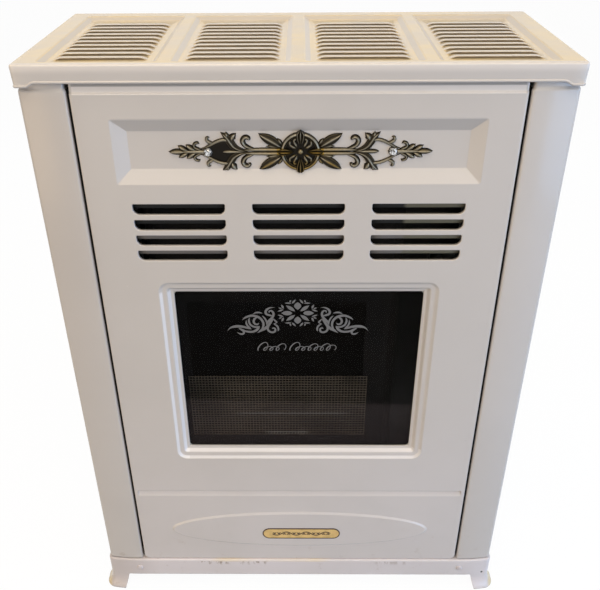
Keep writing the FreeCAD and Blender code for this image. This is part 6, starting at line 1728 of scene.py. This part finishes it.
class HEATER_OT_window(bpy.types.Operator):
    """Builds the print on the pane and the wire screen behind it"""

    bl_idname = "heater.window"
    bl_label = "Window"

    def execute(self, context):
        size = context.scene.heater_window
        printed = pane_print(size, context.scene.heater_panel)
        printed.piece("pane_print", "front_panel", "pane", ink("ink", context.scene.heater_finish.print_ink))
        wire_screen(size).piece("wire_screen", "cabinet", "mesh_steel", finish_for("mesh_steel"), ("radiant_mesh",))
        return {"FINISHED"}


class HEATER_OT_cad_pieces(bpy.types.Operator):
    """Gives every other CAD node a merged, smoothed copy with the finish of its slot"""

    bl_idname = "heater.cad_pieces"
    bl_label = "Other pieces"

    def execute(self, context):
        for node, source in frame["nodes"].items():
            if source.hide_render:
                continue
            mesh = source.data.copy()
            mesh.name = node + "_piece"
            merge(mesh)
            made = finished(mesh, node + "_piece", source["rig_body"], finish_for(SLOT_OF[node]),
                            (node,), crease=35)
            level = made.modifiers.new("Level faces", "WEIGHTED_NORMAL")
            level.keep_sharp = True
        return {"FINISHED"}


# Soft square lamps: name, place and width in metres, power in watts, tint.
LAMPS = (
    ("Lamp above", (-0.35, -0.35, 2.3), 1.3, 10.5, (1.0, 0.82, 0.58)),
    ("Lamp front", (0.1, -2.1, 2.4), 2.4, 33.5, (1.0, 0.885, 0.71)),
    ("Lamp left", (-1.3, -1.4, 0.35), 0.9, 3.8, (1.0, 0.7, 0.36)),
    ("Lamp right", (1.7, -0.55, 0.8), 0.9, 8, (0.48, 0.68, 1.0)),
    ("Lamp low", (1.3, -1.4, 0.35), 0.9, 7, (0.3, 0.58, 1.0)),
    ("Lamp rear", (0.0, 2.4, 0.3), 0.8, 12, (1.0, 0.98, 0.95)),
)


class HEATER_OT_stage(bpy.types.Operator):
    """Builds the floor, the lamps, the world and the camera"""

    bl_idname = "heater.stage"
    bl_label = "Stage"

    def execute(self, context):
        size = context.scene.heater_stage
        self.floor(size)
        self.world(context.scene, size)
        for lamp in LAMPS:
            self.lamp(*lamp)
        self.camera(context.scene, size)
        context.scene.view_settings.view_transform = "Standard"
        return {"FINISHED"}

    def floor(self, size):
        """Pale floor that shows white to the eye and in gloss and glass, but still takes the shadow."""
        mesh = bpy.data.meshes.new("floor")
        corners = [(size.floor * x, size.floor * y, 0) for x, y in ((-1, -1), (1, -1), (1, 1), (-1, 1))]
        mesh.from_pydata(corners, [], [(0, 1, 2, 3)])
        made = bpy.data.objects.new("floor", mesh)
        bpy.context.scene.collection.objects.link(made)
        finish = Finish("floor")
        finish.paint(Base_Color=FLOOR_GREY, Roughness=0.9)
        glow = finish.node("ShaderNodeEmission", {}, {"Color": (1, 1, 1, 1), "Strength": size.floor_glow})
        own = Signal(finish, finish.surface.outputs[0])
        mixed = finish.node("ShaderNodeMixShader", {}, {0: finish.seen() * size.floor_share, 1: own, 2: glow})
        finish.feed(mixed, finish.tree.nodes["Material Output"].inputs["Surface"])
        mesh.materials.append(finish.material)

    def world(self, scene, size):
        """White to the eye and in gloss and glass, a plain grey as light."""
        world = bpy.data.worlds.new("studio")
        world.use_nodes = True
        nodes = Nodes(world.node_tree)
        back = world.node_tree.nodes["Background"]
        nodes.feed((1, 1, 1, 1), back.inputs["Color"])
        nodes.feed(size.world_light + (1 - size.world_light) * nodes.seen(), back.inputs["Strength"])
        scene.world = world

    def lamp(self, name, place, width, power, tint):
        """Lamp turned to the middle of the heater."""
        data = bpy.data.lights.new(name, "AREA")
        data.size = width
        data.energy = power
        data.color = tint
        made = bpy.data.objects.new(name, data)
        made.location = place
        made.rotation_euler = (HEART - Vector(place)).to_track_quat("-Z", "Y").to_euler()
        bpy.context.scene.collection.objects.link(made)

    def camera(self, scene, size):
        """Camera at the photograph's place: turned by yaw, tilted by pitch, then rolled about its own view."""
        data = bpy.data.cameras.new("Camera")
        data.sensor_fit = "HORIZONTAL"
        data.lens = size.lens
        data.shift_x = size.shift_x
        data.shift_y = size.shift_y
        data.clip_start = 0.01
        made = bpy.data.objects.new("Camera", data)
        turn = (Matrix.Rotation(size.yaw, 4, "Z") @ Matrix.Rotation(size.pitch, 4, "X")
                @ Matrix.Rotation(size.roll, 4, "Z"))
        made.matrix_world = Matrix.Translation(size.place) @ turn
        scene.collection.objects.link(made)
        scene.camera = made


GROUPS = {
    "heater_panel": PanelSizes,
    "heater_cover": CoverSizes,
    "heater_body": BodySizes,
    "heater_ornament": OrnamentSizes,
    "heater_window": WindowSizes,
    "heater_dial": DialSizes,
    "heater_badge": BadgeSizes,
    "heater_finish": Finishes,
    "heater_wear": WearPlaces,
    "heater_stage": StageSizes,
}
STEPS = (HEATER_OT_front_panel, HEATER_OT_top_cover, HEATER_OT_side_panels, HEATER_OT_base, HEATER_OT_ornament,
         HEATER_OT_badge, HEATER_OT_dial, HEATER_OT_window, HEATER_OT_cad_pieces, HEATER_OT_stage)


class HEATER_PT_steps(bpy.types.Panel):
    """Lists the steps that build the heater"""

    bl_label = "Gas heater"
    bl_idname = "HEATER_PT_steps"
    bl_space_type = "VIEW_3D"
    bl_region_type = "UI"
    bl_category = "Heater"

    def draw(self, context):
        for step in STEPS:
            self.layout.operator(step.bl_idname)


def register():
    for name, group in GROUPS.items():
        bpy.utils.register_class(group)
        setattr(bpy.types.Scene, name, PointerProperty(type=group))
    for step in (*STEPS, HEATER_PT_steps):
        bpy.utils.register_class(step)


def unregister():
    for step in (HEATER_PT_steps, *reversed(STEPS)):
        bpy.utils.unregister_class(step)
    for name, group in reversed(GROUPS.items()):
        delattr(bpy.types.Scene, name)
        bpy.utils.unregister_class(group)


def main():
    register()
    for step in STEPS:
        group, name = step.bl_idname.split(".")
        getattr(getattr(bpy.ops, group), name)()


if __name__ == "__main__":
    main()
